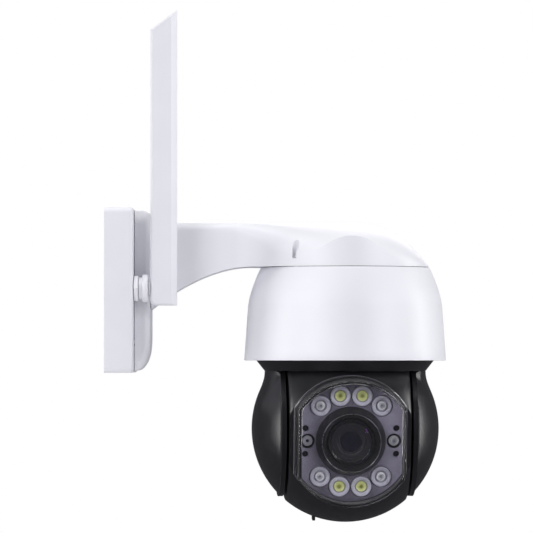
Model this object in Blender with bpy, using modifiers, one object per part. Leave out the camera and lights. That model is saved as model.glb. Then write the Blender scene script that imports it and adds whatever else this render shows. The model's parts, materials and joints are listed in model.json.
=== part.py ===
"""Pan-and-tilt security camera on a wall bracket, modelled as the separate parts it is made of.

The origin is the middle of the wall face. X runs out from the wall, Z is up, and the lens looks
along -Y. Lengths are in millimetres and angles in degrees; the helpers make metres and radians.
"""
import math

import bmesh
import bpy
from mathutils import Vector

MM = 0.001
GAP = 0.3                   # clearance between two pieces that touch
WALL = 2.2                  # moulded wall of a casing
SIDES = 40                  # facets round a large piece
FACET_SAG = 0.5             # how far a facet of the ball's wall may stand inside its true curve
SMALL_SIDES = 16            # facets round a small one

# Directions in which a turned or flat piece can face: its local Z goes to the axis named.
FACING_X = (math.pi / 2, 0, math.pi / 2)
FACING_MINUS_X = (math.pi / 2, 0, -math.pi / 2)
FACING_LENS = (math.pi / 2, 0, 0)

# Wall base and its cover
BASE_DEPTH = 16.4
BASE_HALF_WIDTH = 45.0
BASE_HALF_HEIGHT = 46.5
BASE_EDGE = 2.0
BASE_WALL = 2.5
WALL_PLATE_THICK = 3.0
WALL_SCREW_INSET = 7.0      # from the base's edges to a wall screw
WALL_SCREW_R = 2.5
WALL_SCREW_SINK_R = 5.0
WALL_SCREW_SINK = 4.0
POST_R = 6.5
COVER_DEPTH = 8.8
COVER_HALF_WIDTH = 29.0
COVER_MARGIN = 1.1          # base height left clear above and below the cover
COVER_CORNER_R = 9.5
COVER_EDGE = 3.5
COVER_CHIN_DEPTH = 8.2      # large round under the cover's front
COVER_CHIN_HEIGHT = 16.0
COVER_SIDE_WALL = 3.0
COVER_TOP_WALL = 3.4
COVER_CHIN_WALL = 9.4       # thick enough to stay closed behind the chin's round
BASE_WINDOW_SIDE = 4.0      # base's front opening, inside the cover's outline
BASE_WINDOW_END = 5.4
BATTERY_R = 9.2
BATTERY_LENGTH = 65.0
INLET_R = 4.4
INLET_BORE_R = 3.2
INLET_PIN_R = 0.9
WIRE_HOLE_R = 4.0
WIRE_HOLE_Z = 18.0

# Arm and canopy
REACH = 135.9               # wall face to the pan axis
SEAM_Z = 13.4               # joint between canopy and bowl
CANOPY_RISE = 25.0          # canopy top above the seam
DOME_R = 47.9
DOME_SHOULDER = 12.5        # how far the domed section would pass the rim, before it is sliced off
SHOULDER_FORWARD = 3.0      # where it passes the rim most, beyond the pan axis
SHOULDER_SPREAD = 14.0      # and how soon that fades out either side
DOME_DRAFT = 0.06           # lean of the sliced side
ARM_HALF_WIDTH = 19.5
ARM_ROOT_HALF_WIDTH = 22.0
ARM_ROOT_TAPER = 33.0
ARM_DROP = 24.0             # how far the arm's underside falls from the seam to the wall
ARM_CORNER = 5.0
ROUND_START = 67.5          # short of the pan axis, where the arm's corners begin to grow into the dome
ROUND_LENGTH = 50.0
ROOF_THICK = 2.4
ARM_SIDE_WALL = 2.5
FLARE_START = 65.5          # distances short of the pan axis
FLARE_END = 28.3
ARM_KNEE = 54.3
CANOPY_SCREW_R = DOME_R - 1.9   # canopy screws, from the pan axis
CANOPY_SCREW_SINK_R = 2.4
CANOPY_SCREW_FLOOR_Z = 18.8
CANOPY_SCREW_HOLE_R = 1.3

# Bowl under the canopy
BOWL_BOTTOM_Z = -39.6
BOWL_FLARE = 9.6            # bottom radius less the canopy's
BOWL_DRAFT = 0.0707
BOWL_SHOULDER_Z = -8.6
BOWL_SHOULDER = 5.64
BOWL_RIM_INSET = 5.7
BOWL_RIM_THICK = 3.75

# Pan drive
DECK_Z = -7.0
DECK_THICK = 3.0
HUB_R = 8.0
HUB_NECK_R = 6.0
HUB_BORE_R = 4.0
BEARING_R = 13.2
BEARING_THICK = 5.0
TURNTABLE_R = 43.0
TURNTABLE_Z = -19.0
TURNTABLE_THICK = 3.0
GEAR_MODULE = 0.8
GEAR_PLAY = 0.15            # extra centre distance
PAN_GEAR_TEETH = 48
PINION_TEETH = 12
GEAR_THICK = 4.5
PAN_MOTOR_R = 14.0
TILT_MOTOR_R = 12.0
MOTOR_LENGTH = 15.0
MOTOR_OFFSET = 8.0          # motor centre beside its own shaft
SHAFT_R = 1.5
REST_PAN = 3.5

# Skirt and ball
SKIRT_TOP_R = 50.6
SKIRT_MOUTH_R = 45.9
SKIRT_HEIGHT = 6.4
SKIRT_WALL = 2.0
SKIRT_DROP = 6.0            # skirt mouth below the bowl
BALL_CLEARANCE = 1.7
BALL_R = 53.3
BALL_WALL = 2.0
REST_TILT = 9.3
DRUM_HALF_WIDTH = 34.4      # the part of the ball that tilts
YOKE_IN = 35.5
YOKE_THICK = 1.7
YOKE_NECK_HALF_WIDTH = 19.5
COVER_NECK_HALF_WIDTH = 21.0
COVER_NECK_HEIGHT = 20.0
AXLE_R = 5.0
AXLE_TIP_R = 4.0
AXLE_FLANGE_R = 8.0
TILT_GEAR_TEETH = 36
SEAL_WIDTH = 3.0
FRONT_SHELL_DEPTH = 21.0    # from the face back to the split

# Face: heights along the lens axis count from the front rim of the ball
FACE_R = 37.0
FACE_HALF_WIDTH = 31.8
WINDOW_DEPTH = 14.6
WINDOW_FRONT_R = 36.0
WINDOW_FRONT_HALF_WIDTH = 29.8
WINDOW_WALL = 1.8
LED_PLATE_MARGIN = 0.8
LED_PLATE_THICK = 2.0
LED_RING_R = 26.5
LED_CUP_R = 5.7
LED_CUP_FRONT = 3.4
LED_INNER_ANGLE = 13.5
LED_OUTER_ANGLE = 40.5
LED_BOARD_THICK = 1.6
HOOD_BASE_R = 19.8
HOOD_FRONT_R = 16.9
HOOD_FRONT = 9.0
HOOD_BORE_R = 13.5
SENSOR_X = 24.3
SENSOR_R = 3.2
SENSOR_HOLE_R = 4.0
FACE_RIM = 3.6              # width of the front shell's flange behind the LED plate
FACE_RIM_THICK = 2.0
SENSOR_BOARD_BACK = 20.2
SENSOR_BOARD_HALF = 19.0
BOARD_THICK = 1.6

# Card cover under the ball
CARD_X = -18.0
CARD_Y = -6.6
CARD_LENGTH = 12.0
CARD_WIDTH = 8.0
CARD_PLUG_DEPTH = 3.5
CARD_TAB_WIDTH = 2.9
CARD_TAB_DROP = 1.8
RESET_R = 1.5
RESET_LENGTH = 2.8
IO_BOARD_Z = 13.3 - BALL_R

# Antenna
ANTENNA_Y = -37.5
ANTENNA_Z = 0.9
ANTENNA_WIDTH = 14.9
ANTENNA_THICK = 9.0
ANTENNA_ABOVE = 156.5
ANTENNA_BELOW = 9.6
ANTENNA_SLANT = 11.0
ANTENNA_HEEL_R = 2.9
ANTENNA_BEVEL = 1.0
ANTENNA_FRONT_BEVEL = 3.3
ANTENNA_SKIN = 1.5
ANTENNA_SHAFT_R = 3.0
ANTENNA_COLLAR_R = 4.5
SOCKET_DISC_R = 7.8
SOCKET_DISC_THICK = 3.3
SOCKET_BARREL_R = 6.2
SOCKET_THREAD_R = 4.0
NUT_FLATS = 14.0
NUT_THICK = 2.3

# Places worked out from the sizes above
INLET_X = WALL_PLATE_THICK + GAP + 5.45
COVER_BACK_X = BASE_DEPTH + GAP
COVER_FRONT_X = COVER_BACK_X + COVER_DEPTH
COVER_HALF_HEIGHT = BASE_HALF_HEIGHT - COVER_MARGIN
ARM_ROOT_X = COVER_FRONT_X + GAP
CANOPY_BOTTOM_Z = SEAM_Z + GAP / 2
BOWL_TOP_Z = SEAM_Z - GAP / 2
CANOPY_SCREW_Y = math.sqrt(CANOPY_SCREW_R ** 2 - FLARE_END ** 2)
SKIRT_MOUTH_Z = BOWL_BOTTOM_Z - SKIRT_DROP
BALL_Z = SKIRT_MOUTH_Z - math.sqrt(BALL_R ** 2 - (SKIRT_MOUTH_R - SKIRT_WALL - BALL_CLEARANCE) ** 2)
YOKE_OUT = YOKE_IN + YOKE_THICK
CAP_IN = YOKE_OUT + GAP
AXLE_SEAT = DRUM_HALF_WIDTH - BALL_WALL - 0.9
FACE_Y = -math.sqrt(BALL_R ** 2 - FACE_R ** 2)
SPLIT_Y = FACE_Y + FRONT_SHELL_DEPTH
NUT_FRONT_X = COVER_BACK_X + NUT_THICK
BLADE_X = NUT_FRONT_X + 6.9


# ---------------------------------------------------------------- helpers

def start_scene():
    """Empty the scene and make one collection for the parts and one for the cutters."""
    for obj in list(bpy.data.objects):
        bpy.data.objects.remove(obj, do_unlink=True)
    for name in ("security_camera", "cutters"):
        bpy.context.scene.collection.children.link(bpy.data.collections.new(name))


def finish(name, colour, roughness, metallic=0.0):
    """Make a Principled material."""
    material = bpy.data.materials.new(name)
    material.use_nodes = True
    shader = material.node_tree.nodes["Principled BSDF"]
    shader.inputs["Base Color"].default_value = (*colour, 1)
    shader.inputs["Roughness"].default_value = roughness
    shader.inputs["Metallic"].default_value = metallic
    return material


def add_axis(name, at, turn=(0, 0, 0), frame=None):
    """Add an empty that stands for a joint's axis."""
    axis = bpy.data.objects.new(name, None)
    axis.parent = frame
    axis.location = Vector(at) * MM
    axis.rotation_euler = [math.radians(angle) for angle in turn]
    bpy.data.collections["security_camera"].objects.link(axis)
    return axis


def add_object(name, mesh, look=None, frame=None, at=(0, 0, 0), facing=(0, 0, 0)):
    """Link a mesh as a part, or as a cutter when it has no look."""
    obj = bpy.data.objects.new(name, mesh)
    obj.parent = frame
    obj.location = Vector(at) * MM
    obj.rotation_euler = facing
    if look is None:
        obj.hide_render = True
        obj.display_type = 'WIRE'
        bpy.data.collections["cutters"].objects.link(obj)
    else:
        mesh.materials.append(look)
        bpy.data.collections["security_camera"].objects.link(obj)
    return obj


def box(name, low, high, look=None, frame=None):
    """Add a box between two corners, with its origin in its middle."""
    size = Vector(high) - Vector(low)
    mesh = bpy.data.meshes.new(name)
    shape = bmesh.new()
    bmesh.ops.create_cube(shape, size=MM)
    bmesh.ops.scale(shape, vec=size, verts=shape.verts)
    shape.to_mesh(mesh)
    shape.free()
    return add_object(name, mesh, look, frame, (Vector(low) + Vector(high)) / 2)


def rod(name, radius, low, high, look=None, sides=SMALL_SIDES, **place):
    """Add a cylinder along local Z from one height to another."""
    mesh = bpy.data.meshes.new(name)
    shape = bmesh.new()
    bmesh.ops.create_cone(shape, cap_ends=True, segments=sides, radius1=radius * MM,
                          radius2=radius * MM, depth=(high - low) * MM)
    bmesh.ops.translate(shape, vec=(0, 0, (high + low) / 2 * MM), verts=shape.verts)
    shape.to_mesh(mesh)
    shape.free()
    return add_object(name, mesh, look, **place)


def turned(name, profile, look=None, sides=SIDES, **place):
    """Turn (radius, height) points about Z, listed down the outer side.

    A profile that starts off the axis is closed into a ring.
    """
    count = len(profile)
    edges = [(i, i + 1) for i in range(count - 1)]
    if profile[0][0] > 0:
        edges.append((count - 1, 0))
    mesh = bpy.data.meshes.new(name)
    mesh.from_pydata([(radius * MM, 0, height * MM) for radius, height in profile], edges, [])
    obj = add_object(name, mesh, look, **place)
    screw = obj.modifiers.new("Turn", 'SCREW')
    screw.steps = sides
    screw.render_steps = sides
    screw.use_merge_vertices = True
    screw.merge_threshold = 0.00001
    screw.use_smooth_shade = True
    return obj


def plate(name, outline, low, high, look=None, holes=(), **place):
    """Extrude a flat outline in XY from one height to another, as a welded mesh."""
    curve = bpy.data.curves.new(name, 'CURVE')
    curve.dimensions = '2D'
    curve.fill_mode = 'BOTH'
    curve.extrude = (high - low) / 2 * MM
    for loop in (outline, *holes):
        spline = curve.splines.new('POLY')
        spline.points.add(len(loop) - 1)
        spline.use_cyclic_u = True
        for point, (x, y) in zip(spline.points, loop):
            point.co = (x * MM, y * MM, 0, 1)
    flat = bpy.data.objects.new(name, curve)
    bpy.data.collections["cutters"].objects.link(flat)
    mesh = bpy.data.meshes.new_from_object(flat.evaluated_get(bpy.context.evaluated_depsgraph_get()))
    bpy.data.objects.remove(flat)
    bpy.data.curves.remove(curve)
    shape = bmesh.new()
    shape.from_mesh(mesh)
    bmesh.ops.remove_doubles(shape, verts=shape.verts, dist=0.000001)
    bmesh.ops.translate(shape, vec=(0, 0, (high + low) / 2 * MM), verts=shape.verts)
    shape.to_mesh(mesh)
    shape.free()
    mesh.name = name
    return add_object(name, mesh, look, **place)


def loft(name, rings, look=None, **place):
    """Skin closed rings that have the same number of points, and cap both ends."""
    shape = bmesh.new()
    loops = [[shape.verts.new(Vector(point) * MM) for point in ring] for ring in rings]
    for near, far in zip(loops, loops[1:]):
        for i, vert in enumerate(near):
            j = (i + 1) % len(near)
            shape.faces.new((vert, near[j], far[j], far[i]))
    shape.faces.new(loops[0])
    shape.faces.new(loops[-1])
    bmesh.ops.recalc_face_normals(shape, faces=shape.faces)
    mesh = bpy.data.meshes.new(name)
    shape.to_mesh(mesh)
    shape.free()
    mesh.shade_smooth()
    mesh.set_sharp_from_angle(angle=math.radians(35))
    return add_object(name, mesh, look, **place)


def combine(obj, others, operation):
    """Add an exact Boolean to an object for each of the others."""
    for other in others:
        boolean = obj.modifiers.new(other.name, 'BOOLEAN')
        boolean.operation = operation
        boolean.solver = 'EXACT'
        boolean.object = other


def cut(obj, *others):
    combine(obj, others, 'DIFFERENCE')


def join(obj, *others):
    combine(obj, others, 'UNION')


def soften(obj, width, segments=2):
    """Round an object's sharp edges."""
    bevel = obj.modifiers.new("Edges", 'BEVEL')
    bevel.width = width * MM
    bevel.segments = segments
    bevel.limit_method = 'ANGLE'
    bevel.angle_limit = math.radians(40)


# ---------------------------------------------------------------- outlines

def arc(radius, start, end, steps, middle=(0, 0)):
    """Points along an arc, in degrees from +X, with both ends."""
    angles = [math.radians(start + (end - start) * i / steps) for i in range(steps + 1)]
    return [(middle[0] + radius * math.cos(a), middle[1] + radius * math.sin(a)) for a in angles]


def circle(radius, sides=SMALL_SIDES, middle=(0, 0)):
    return arc(radius, 0, 360, sides, middle)[:-1]


def rounded_rectangle(half_width, low, high, radius, steps=4):
    """An upright rectangle about x = 0 with round corners."""
    x = half_width - radius
    return (arc(radius, 0, 90, steps, (x, high - radius)) + arc(radius, 90, 180, steps, (-x, high - radius))
            + arc(radius, 180, 270, steps, (-x, low + radius))
            + arc(radius, 270, 360, steps, (x, low + radius)))


def clipped_circle(radius, half_width, steps=12):
    """A circle with its left and right sides cut straight."""
    start = math.degrees(math.acos(half_width / radius))
    return arc(radius, start, 180 - start, steps) + arc(radius, 180 + start, 360 - start, steps)


def stadium(radius, half_span, middle_x):
    """Two half circles, either side of y = 0, joined by straight sides."""
    return (arc(radius, 0, 180, 10, (middle_x, half_span)) + arc(radius, 180, 360, 10, (middle_x, -half_span)))


def gear(teeth, turn):
    """A spur gear's outline, with a tooth at the angle given."""
    pitch_r = GEAR_MODULE * teeth / 2
    root_r = pitch_r - 1.2 * GEAR_MODULE
    tip_r = pitch_r + 0.85 * GEAR_MODULE
    points = []
    for tooth in range(teeth):
        for share, radius in ((-0.30, root_r), (-0.11, tip_r), (0.11, tip_r), (0.30, root_r)):
            angle = math.radians(turn + (tooth + share) * 360 / teeth)
            points.append((radius * math.cos(angle), radius * math.sin(angle)))
    return points


def meshing_turn(wheel_teeth, wheel_turn, direction):
    """The pinion's angle that puts a gap on the wheel's tooth, in that direction from the wheel."""
    pitches = (direction - wheel_turn) * wheel_teeth / 360
    return direction + 180 + (pitches + 0.5) * 360 / PINION_TEETH


# ---------------------------------------------------------------- wall bracket

def wall_screw_places():
    y = BASE_HALF_WIDTH - WALL_SCREW_INSET
    z = BASE_HALF_HEIGHT - WALL_SCREW_INSET
    return [(side * y, end * z) for side in (-1, 1) for end in (-1, 1)]


def make_wall_plate(look):
    inset = BASE_WALL + GAP
    height = BASE_HALF_HEIGHT - inset
    outline = rounded_rectangle(BASE_HALF_WIDTH - inset, -height, height, 1.5)
    holes = [circle(WALL_SCREW_R, 16, place) for place in wall_screw_places()]
    plate("wall_plate", outline, 0, WALL_PLATE_THICK, look, holes, facing=FACING_X)


def make_wall_base(look):
    base = box("wall_base", (-2 * BASE_EDGE, -BASE_HALF_WIDTH, -BASE_HALF_HEIGHT),
               (BASE_DEPTH, BASE_HALF_WIDTH, BASE_HALF_HEIGHT), look)
    soften(base, BASE_EDGE, 3)
    half_y = BASE_HALF_WIDTH - BASE_WALL
    half_z = BASE_HALF_HEIGHT - BASE_WALL
    back = box("base_back_cut", (-50, -100, -100), (0, 100, 100))
    hollow = box("base_hollow", (-1, -half_y, -half_z), (BASE_DEPTH - WALL, half_y, half_z))
    cut(base, back, hollow)
    for i, place in enumerate(wall_screw_places()):
        post = rod(f"base_post_{i}", POST_R, WALL_PLATE_THICK + GAP, BASE_DEPTH - 1, facing=FACING_X,
                   at=(0, *place))
        join(base, post)
    for i, place in enumerate(wall_screw_places()):
        hole = rod(f"base_screw_{i}", WALL_SCREW_R, -1, BASE_DEPTH + 1, sides=16, facing=FACING_X,
                   at=(0, *place))
        sink = rod(f"base_sink_{i}", WALL_SCREW_SINK_R, BASE_DEPTH - WALL_SCREW_SINK, BASE_DEPTH + 1,
                   facing=FACING_X, at=(0, *place))
        cut(base, hole, sink)
    half_y = COVER_HALF_WIDTH - BASE_WINDOW_SIDE
    half_z = COVER_HALF_HEIGHT - BASE_WINDOW_END
    window = box("base_window", (WALL_PLATE_THICK, -half_y, -half_z), (BASE_DEPTH + 1, half_y, half_z))
    antenna_hole = rod("base_antenna_hole", SOCKET_THREAD_R + GAP, WALL_PLATE_THICK, BASE_DEPTH + 1,
                       facing=FACING_X, at=(0, ANTENNA_Y, ANTENNA_Z))
    inlet_hole = rod("base_inlet_hole", INLET_R + GAP, -BASE_HALF_HEIGHT - 1, BASE_WALL + 1 - BASE_HALF_HEIGHT,
                     at=(INLET_X, 0, 0))
    cut(base, window, antenna_hole, inlet_hole)


def make_base_cover(look):
    def inset(x, depth, rise):
        """How far an elliptical edge has turned in at a given x."""
        share = max(0.0, (x - (COVER_FRONT_X - depth)) / depth)
        return rise * (1 - math.sqrt(max(0.0, 1 - share ** 2)))

    stations = [COVER_BACK_X, COVER_FRONT_X - COVER_CHIN_DEPTH]
    stations += [COVER_FRONT_X - COVER_CHIN_DEPTH * math.cos(math.radians(a)) for a in (20, 32, 44, 54)]
    stations += [COVER_FRONT_X - COVER_EDGE * (1 - math.sin(math.radians(a))) for a in (0, 20, 40, 65, 90)]
    rings = []
    for x in stations:
        side = inset(x, COVER_EDGE, COVER_EDGE)
        chin = inset(x, COVER_CHIN_DEPTH, COVER_CHIN_HEIGHT)
        outline = rounded_rectangle(COVER_HALF_WIDTH - side, chin - COVER_HALF_HEIGHT,
                                    COVER_HALF_HEIGHT - side, COVER_CORNER_R - side)
        rings.append([(x, y, z) for y, z in outline])
    cover = loft("base_cover", rings, look)
    half_y = COVER_HALF_WIDTH - COVER_SIDE_WALL
    hollow = box("cover_hollow", (COVER_BACK_X - 1, -half_y, COVER_CHIN_WALL - COVER_HALF_HEIGHT),
                 (COVER_FRONT_X - WALL, half_y, COVER_HALF_HEIGHT - COVER_TOP_WALL))
    wire_hole = rod("cover_wire_hole", WIRE_HOLE_R, COVER_FRONT_X - 5, COVER_FRONT_X + 1, facing=FACING_X,
                    at=(0, 0, WIRE_HOLE_Z))
    cut(cover, hollow, wire_hole)


def make_power_parts(sleeve, board, jack):
    middle_x = WALL_PLATE_THICK + 1 + BATTERY_R
    low = -BATTERY_LENGTH / 2 + 4.5
    outline = stadium(BATTERY_R, BATTERY_R + 0.2, middle_x)
    plate("battery_pack", outline, low, low + BATTERY_LENGTH, sleeve)
    box("charge_board", (middle_x - 8, -12, low - 2 - BOARD_THICK), (middle_x + 8, 12, low - 2), board)
    bottom = -BASE_HALF_HEIGHT
    seat = bottom + BASE_WALL + GAP
    turned("power_inlet", [(0, bottom + 10), (INLET_R, bottom + 10), (INLET_R, seat + 1.5),
                           (INLET_R + 0.6, seat + 1.5), (INLET_R + 0.6, seat), (INLET_R, seat),
                           (INLET_R, bottom), (INLET_BORE_R, bottom), (INLET_BORE_R, bottom + 8.5),
                           (INLET_PIN_R, bottom + 8.5), (INLET_PIN_R, bottom + 1.5), (0, bottom + 1.5)],
           jack, SMALL_SIDES, at=(INLET_X, 0, 0))


# ---------------------------------------------------------------- arm and canopy

def arm_underside(x):
    """Height of the arm's underside: a curve that falls towards the wall."""
    knee = REACH - ARM_KNEE
    if x >= knee:
        return CANOPY_BOTTOM_Z
    return CANOPY_BOTTOM_Z - ARM_DROP * ((knee - x) / (knee - ARM_ROOT_X)) ** 1.825


def roof_height(distance):
    """Height of the canopy at a distance from the pan axis."""
    return SEAM_Z + CANOPY_RISE * (1 - min(1.0, distance / DOME_R) ** 2.65)


def rim_half_width(x):
    """Half the width at the seam: a straight arm, a flare, then the dome's circle."""
    beyond = x - REACH
    if beyond >= -FLARE_END:
        return math.sqrt(max(0.0, DOME_R ** 2 - beyond ** 2))
    if beyond <= -FLARE_START:
        near_root = max(0.0, 1 - (x - ARM_ROOT_X) / ARM_ROOT_TAPER)
        return ARM_HALF_WIDTH + (ARM_ROOT_HALF_WIDTH - ARM_HALF_WIDTH) * near_root ** 2
    length = FLARE_START - FLARE_END
    share = (beyond + FLARE_START) / length
    end = math.sqrt(DOME_R ** 2 - FLARE_END ** 2)
    end_slope = FLARE_END / end * length
    rise = end - ARM_HALF_WIDTH
    return ARM_HALF_WIDTH + rise * (3 * share ** 2 - 2 * share ** 3) + end_slope * (share ** 3 - share ** 2)


def canopy_half_section(x, side_steps=2, round_steps=7):
    """Points (y, z) from the bottom edge up the side and over to the middle of the top."""
    beyond = x - REACH
    rim = rim_half_width(x)
    shoulder = rim + DOME_SHOULDER * math.exp(-((beyond - SHOULDER_FORWARD) / SHOULDER_SPREAD) ** 2)
    bottom = arm_underside(x)
    top = roof_height(max(0.0, beyond))
    grow = min(1.0, max(0.0, (beyond + ROUND_START) / ROUND_LENGTH))
    grow = grow * grow * (3 - 2 * grow)
    corner_y = ARM_CORNER + (shoulder - ARM_CORNER) * grow
    corner_z = ARM_CORNER + (top - bottom - ARM_CORNER) * grow
    power = 2 / (2 + 0.2 * grow)

    def curve(angle):
        y = shoulder - corner_y + corner_y * max(0.0, math.cos(angle)) ** power
        return y, top - corner_z + corner_z * math.sin(angle) ** power

    def side(z):
        if beyond < -FLARE_END:
            return rim
        radius = DOME_R - DOME_DRAFT * (z - SEAM_Z)
        return math.sqrt(max(0.01, radius ** 2 - beyond ** 2))

    low, high = 0.0, math.pi / 2
    for _ in range(30):
        middle = (low + high) / 2
        y, z = curve(middle)
        if y > side(z):
            low = middle
        else:
            high = middle
    crease = high
    _, crease_z = curve(crease)
    heights = [bottom + (crease_z - bottom) * i / side_steps for i in range(side_steps)]
    points = [(side(z), z) for z in heights]
    for i in range(round_steps + 1):
        points.append(curve(crease + (math.pi / 2 - crease) * i / round_steps))
    points[-1] = (0.0, top)
    return points


def make_arm_canopy(look):
    stations = [ARM_ROOT_X + (REACH - FLARE_START - ARM_ROOT_X) * i / 6 for i in range(6)]
    stations += [REACH - FLARE_START + (FLARE_START - FLARE_END) * i / 6 for i in range(6)]
    start = math.degrees(math.acos(FLARE_END / DOME_R))
    stations += [REACH - DOME_R * math.cos(math.radians(start + (174 - start) * i / 13)) for i in range(14)]
    rings = []
    for x in stations:
        half = canopy_half_section(x)
        rings.append([(x, y, z) for y, z in half] + [(x, -y, z) for y, z in reversed(half[:-1])])
    canopy = loft("arm_canopy", rings, look)

    roof = [(DOME_R * 0.935 * i / 7) for i in range(8)]
    dome = [(distance, roof_height(distance) - ROOF_THICK) for distance in roof]
    dome_hollow = turned("dome_hollow", dome + [(roof[-1], SEAM_Z - 5), (0, SEAM_Z - 5)], sides=32,
                         at=(REACH, 0, 0))
    half_y = ARM_HALF_WIDTH - ARM_SIDE_WALL
    channel = box("arm_channel", (ARM_ROOT_X + ROOF_THICK, -half_y, CANOPY_BOTTOM_Z - ARM_DROP - 5),
                  (REACH - FLARE_END, half_y, SEAM_Z + CANOPY_RISE - ROOF_THICK))
    wire_hole = rod("arm_wire_hole", WIRE_HOLE_R, ARM_ROOT_X - 1, ARM_ROOT_X + 4, facing=FACING_X,
                    at=(0, 0, WIRE_HOLE_Z))
    cut(canopy, dome_hollow, channel, wire_hole)
    for side, mark in ((-1, "left"), (1, "right")):
        place = (REACH - FLARE_END, side * CANOPY_SCREW_Y, 0)
        sink = rod(f"canopy_sink_{mark}", CANOPY_SCREW_SINK_R, CANOPY_SCREW_FLOOR_Z, 60, at=place)
        hole = rod(f"canopy_hole_{mark}", CANOPY_SCREW_HOLE_R, SEAM_Z - 1, CANOPY_SCREW_FLOOR_Z + 1, sides=12,
                   at=place)
        cut(canopy, sink, hole)


def make_arm_bottom_cover(look):
    start = ARM_ROOT_X + ROOF_THICK + GAP
    end = REACH - DOME_R + 1.7
    half_y = ARM_HALF_WIDTH - ARM_SIDE_WALL - GAP
    rings = []
    for i in range(13):
        x = start + (end - start) * i / 12
        z = arm_underside(x)
        rings.append([(x, -half_y, z), (x, half_y, z), (x, half_y, z + 2), (x, -half_y, z + 2)])
    loft("arm_bottom_cover", rings, look)


def make_canopy_screws(look):
    seat = CANOPY_SCREW_FLOOR_Z + GAP
    profile = [(0, seat + 1.8), (1.6, seat + 1.8), (2.1, seat + 1.3), (2.1, seat), (1, seat),
               (1, SEAM_Z - 3.4), (0, SEAM_Z - 3.4)]
    for side, mark in ((-1, "left"), (1, "right")):
        turned(f"canopy_screw_{mark}", profile, look, 16, at=(REACH - FLARE_END, side * CANOPY_SCREW_Y, 0))


def make_canopy_seal(look):
    outer = DOME_R - BOWL_RIM_INSET - GAP
    turned("canopy_seal", [(outer - 1.5, SEAM_Z + 1.1), (outer, SEAM_Z + 1.1), (outer, SEAM_Z - 2.4),
                           (outer - 1.5, SEAM_Z - 2.4)], look, 32, at=(REACH, 0, 0))


# ---------------------------------------------------------------- bowl and pan drive

def bowl_radius(z):
    """Outer radius of the bowl: a drafted wall with a shoulder that rounds in to the seam."""
    radius = DOME_R + BOWL_FLARE - BOWL_DRAFT * (z - BOWL_BOTTOM_Z)
    share = max(0.0, (z - BOWL_SHOULDER_Z) / (BOWL_TOP_Z - BOWL_SHOULDER_Z))
    return radius - BOWL_SHOULDER * share ** 1.55


def make_housing_bowl(look):
    rim_under = BOWL_TOP_Z - BOWL_RIM_THICK
    shoulder = [BOWL_TOP_Z - 1.2 - (BOWL_TOP_Z - 1.2 - BOWL_SHOULDER_Z) * i / 5 for i in range(6)]
    levels = shoulder + [BOWL_BOTTOM_Z]
    rim_r = DOME_R - BOWL_RIM_INSET
    ledge_z = DECK_Z + GAP
    profile = [(rim_r, BOWL_TOP_Z), (DOME_R, BOWL_TOP_Z)]
    profile += [(bowl_radius(z), z) for z in levels]
    profile += [(bowl_radius(z) - WALL, z) for z in (BOWL_BOTTOM_Z, ledge_z)]
    ledge_r = bowl_radius(ledge_z) - WALL - 2.2
    profile += [(ledge_r, ledge_z), (ledge_r, ledge_z + 2)]
    inner = [ledge_z + 2 + (rim_under - ledge_z - 2) * i / 2 for i in range(3)]
    profile += [(bowl_radius(z) - WALL, z) for z in inner]
    profile += [(rim_r, rim_under)]
    bowl = turned("housing_bowl", profile, look, SIDES + 8, at=(REACH, 0, 0))
    for side, mark in ((-1, "left"), (1, "right")):
        hole = rod(f"bowl_hole_{mark}", CANOPY_SCREW_HOLE_R, rim_under - 1, BOWL_TOP_Z + 1, sides=12,
                   at=(REACH - FLARE_END, side * CANOPY_SCREW_Y, 0))
        cut(bowl, hole)


def make_bottom_plate(look):
    low = BOWL_BOTTOM_Z + 0.7
    high = low + 2
    outer = bowl_radius(high) - WALL - GAP
    inner = SKIRT_MOUTH_R - SKIRT_WALL - 0.4
    turned("bottom_plate", [(inner, high), (outer, high), (outer, low), (inner, low)], look, at=(REACH, 0, 0))


def make_main_board(look):
    box("main_board", (REACH - 25, -22, SEAM_Z + 6.6), (REACH + 25, 22, SEAM_Z + 6.6 + BOARD_THICK), look)


def pan_pinion_distance():
    return GEAR_MODULE * (PAN_GEAR_TEETH + PINION_TEETH) / 2 + GEAR_PLAY


def make_motor_deck(look):
    radius = bowl_radius(DECK_Z) - WALL - GAP
    holes = [circle(BEARING_R + GAP, 32), circle(SHAFT_R + 0.8, 12, (-pan_pinion_distance(), 0))]
    plate("motor_deck", circle(radius, SIDES), DECK_Z - DECK_THICK, DECK_Z, look, holes, at=(REACH, 0, 0))


def make_pan_motor(look):
    rod("pan_motor", PAN_MOTOR_R, DECK_Z + GAP, DECK_Z + GAP + MOTOR_LENGTH, look, 32,
        at=(REACH - pan_pinion_distance(), MOTOR_OFFSET, 0))


def make_pan_bearing(look):
    turned("pan_bearing", [(HUB_R + GAP, DECK_Z), (BEARING_R, DECK_Z), (BEARING_R, DECK_Z - BEARING_THICK),
                           (HUB_R + GAP, DECK_Z - BEARING_THICK)], look, 32, at=(REACH, 0, 0))


def make_pan_pinion(look):
    turn = meshing_turn(PAN_GEAR_TEETH, REST_PAN, 180)
    place = (REACH - pan_pinion_distance(), 0, 0)
    low = TURNTABLE_Z + 0.6
    pinion = plate("pan_pinion", gear(PINION_TEETH, turn), low, low + GEAR_THICK + 1, look, at=place)
    shaft = rod("pan_pinion_shaft", SHAFT_R, low + 1, DECK_Z - GAP, sides=12, at=place)
    join(pinion, shaft)


def make_turntable(look, pan):
    neck_z = DECK_Z + 0.1
    turned("turntable", [(HUB_BORE_R, neck_z + 4.9), (HUB_NECK_R, neck_z + 4.9), (HUB_NECK_R, neck_z),
                         (HUB_R, neck_z), (HUB_R, TURNTABLE_Z), (TURNTABLE_R, TURNTABLE_Z),
                         (TURNTABLE_R, TURNTABLE_Z - TURNTABLE_THICK),
                         (HUB_BORE_R, TURNTABLE_Z - TURNTABLE_THICK)], look, frame=pan)


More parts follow.
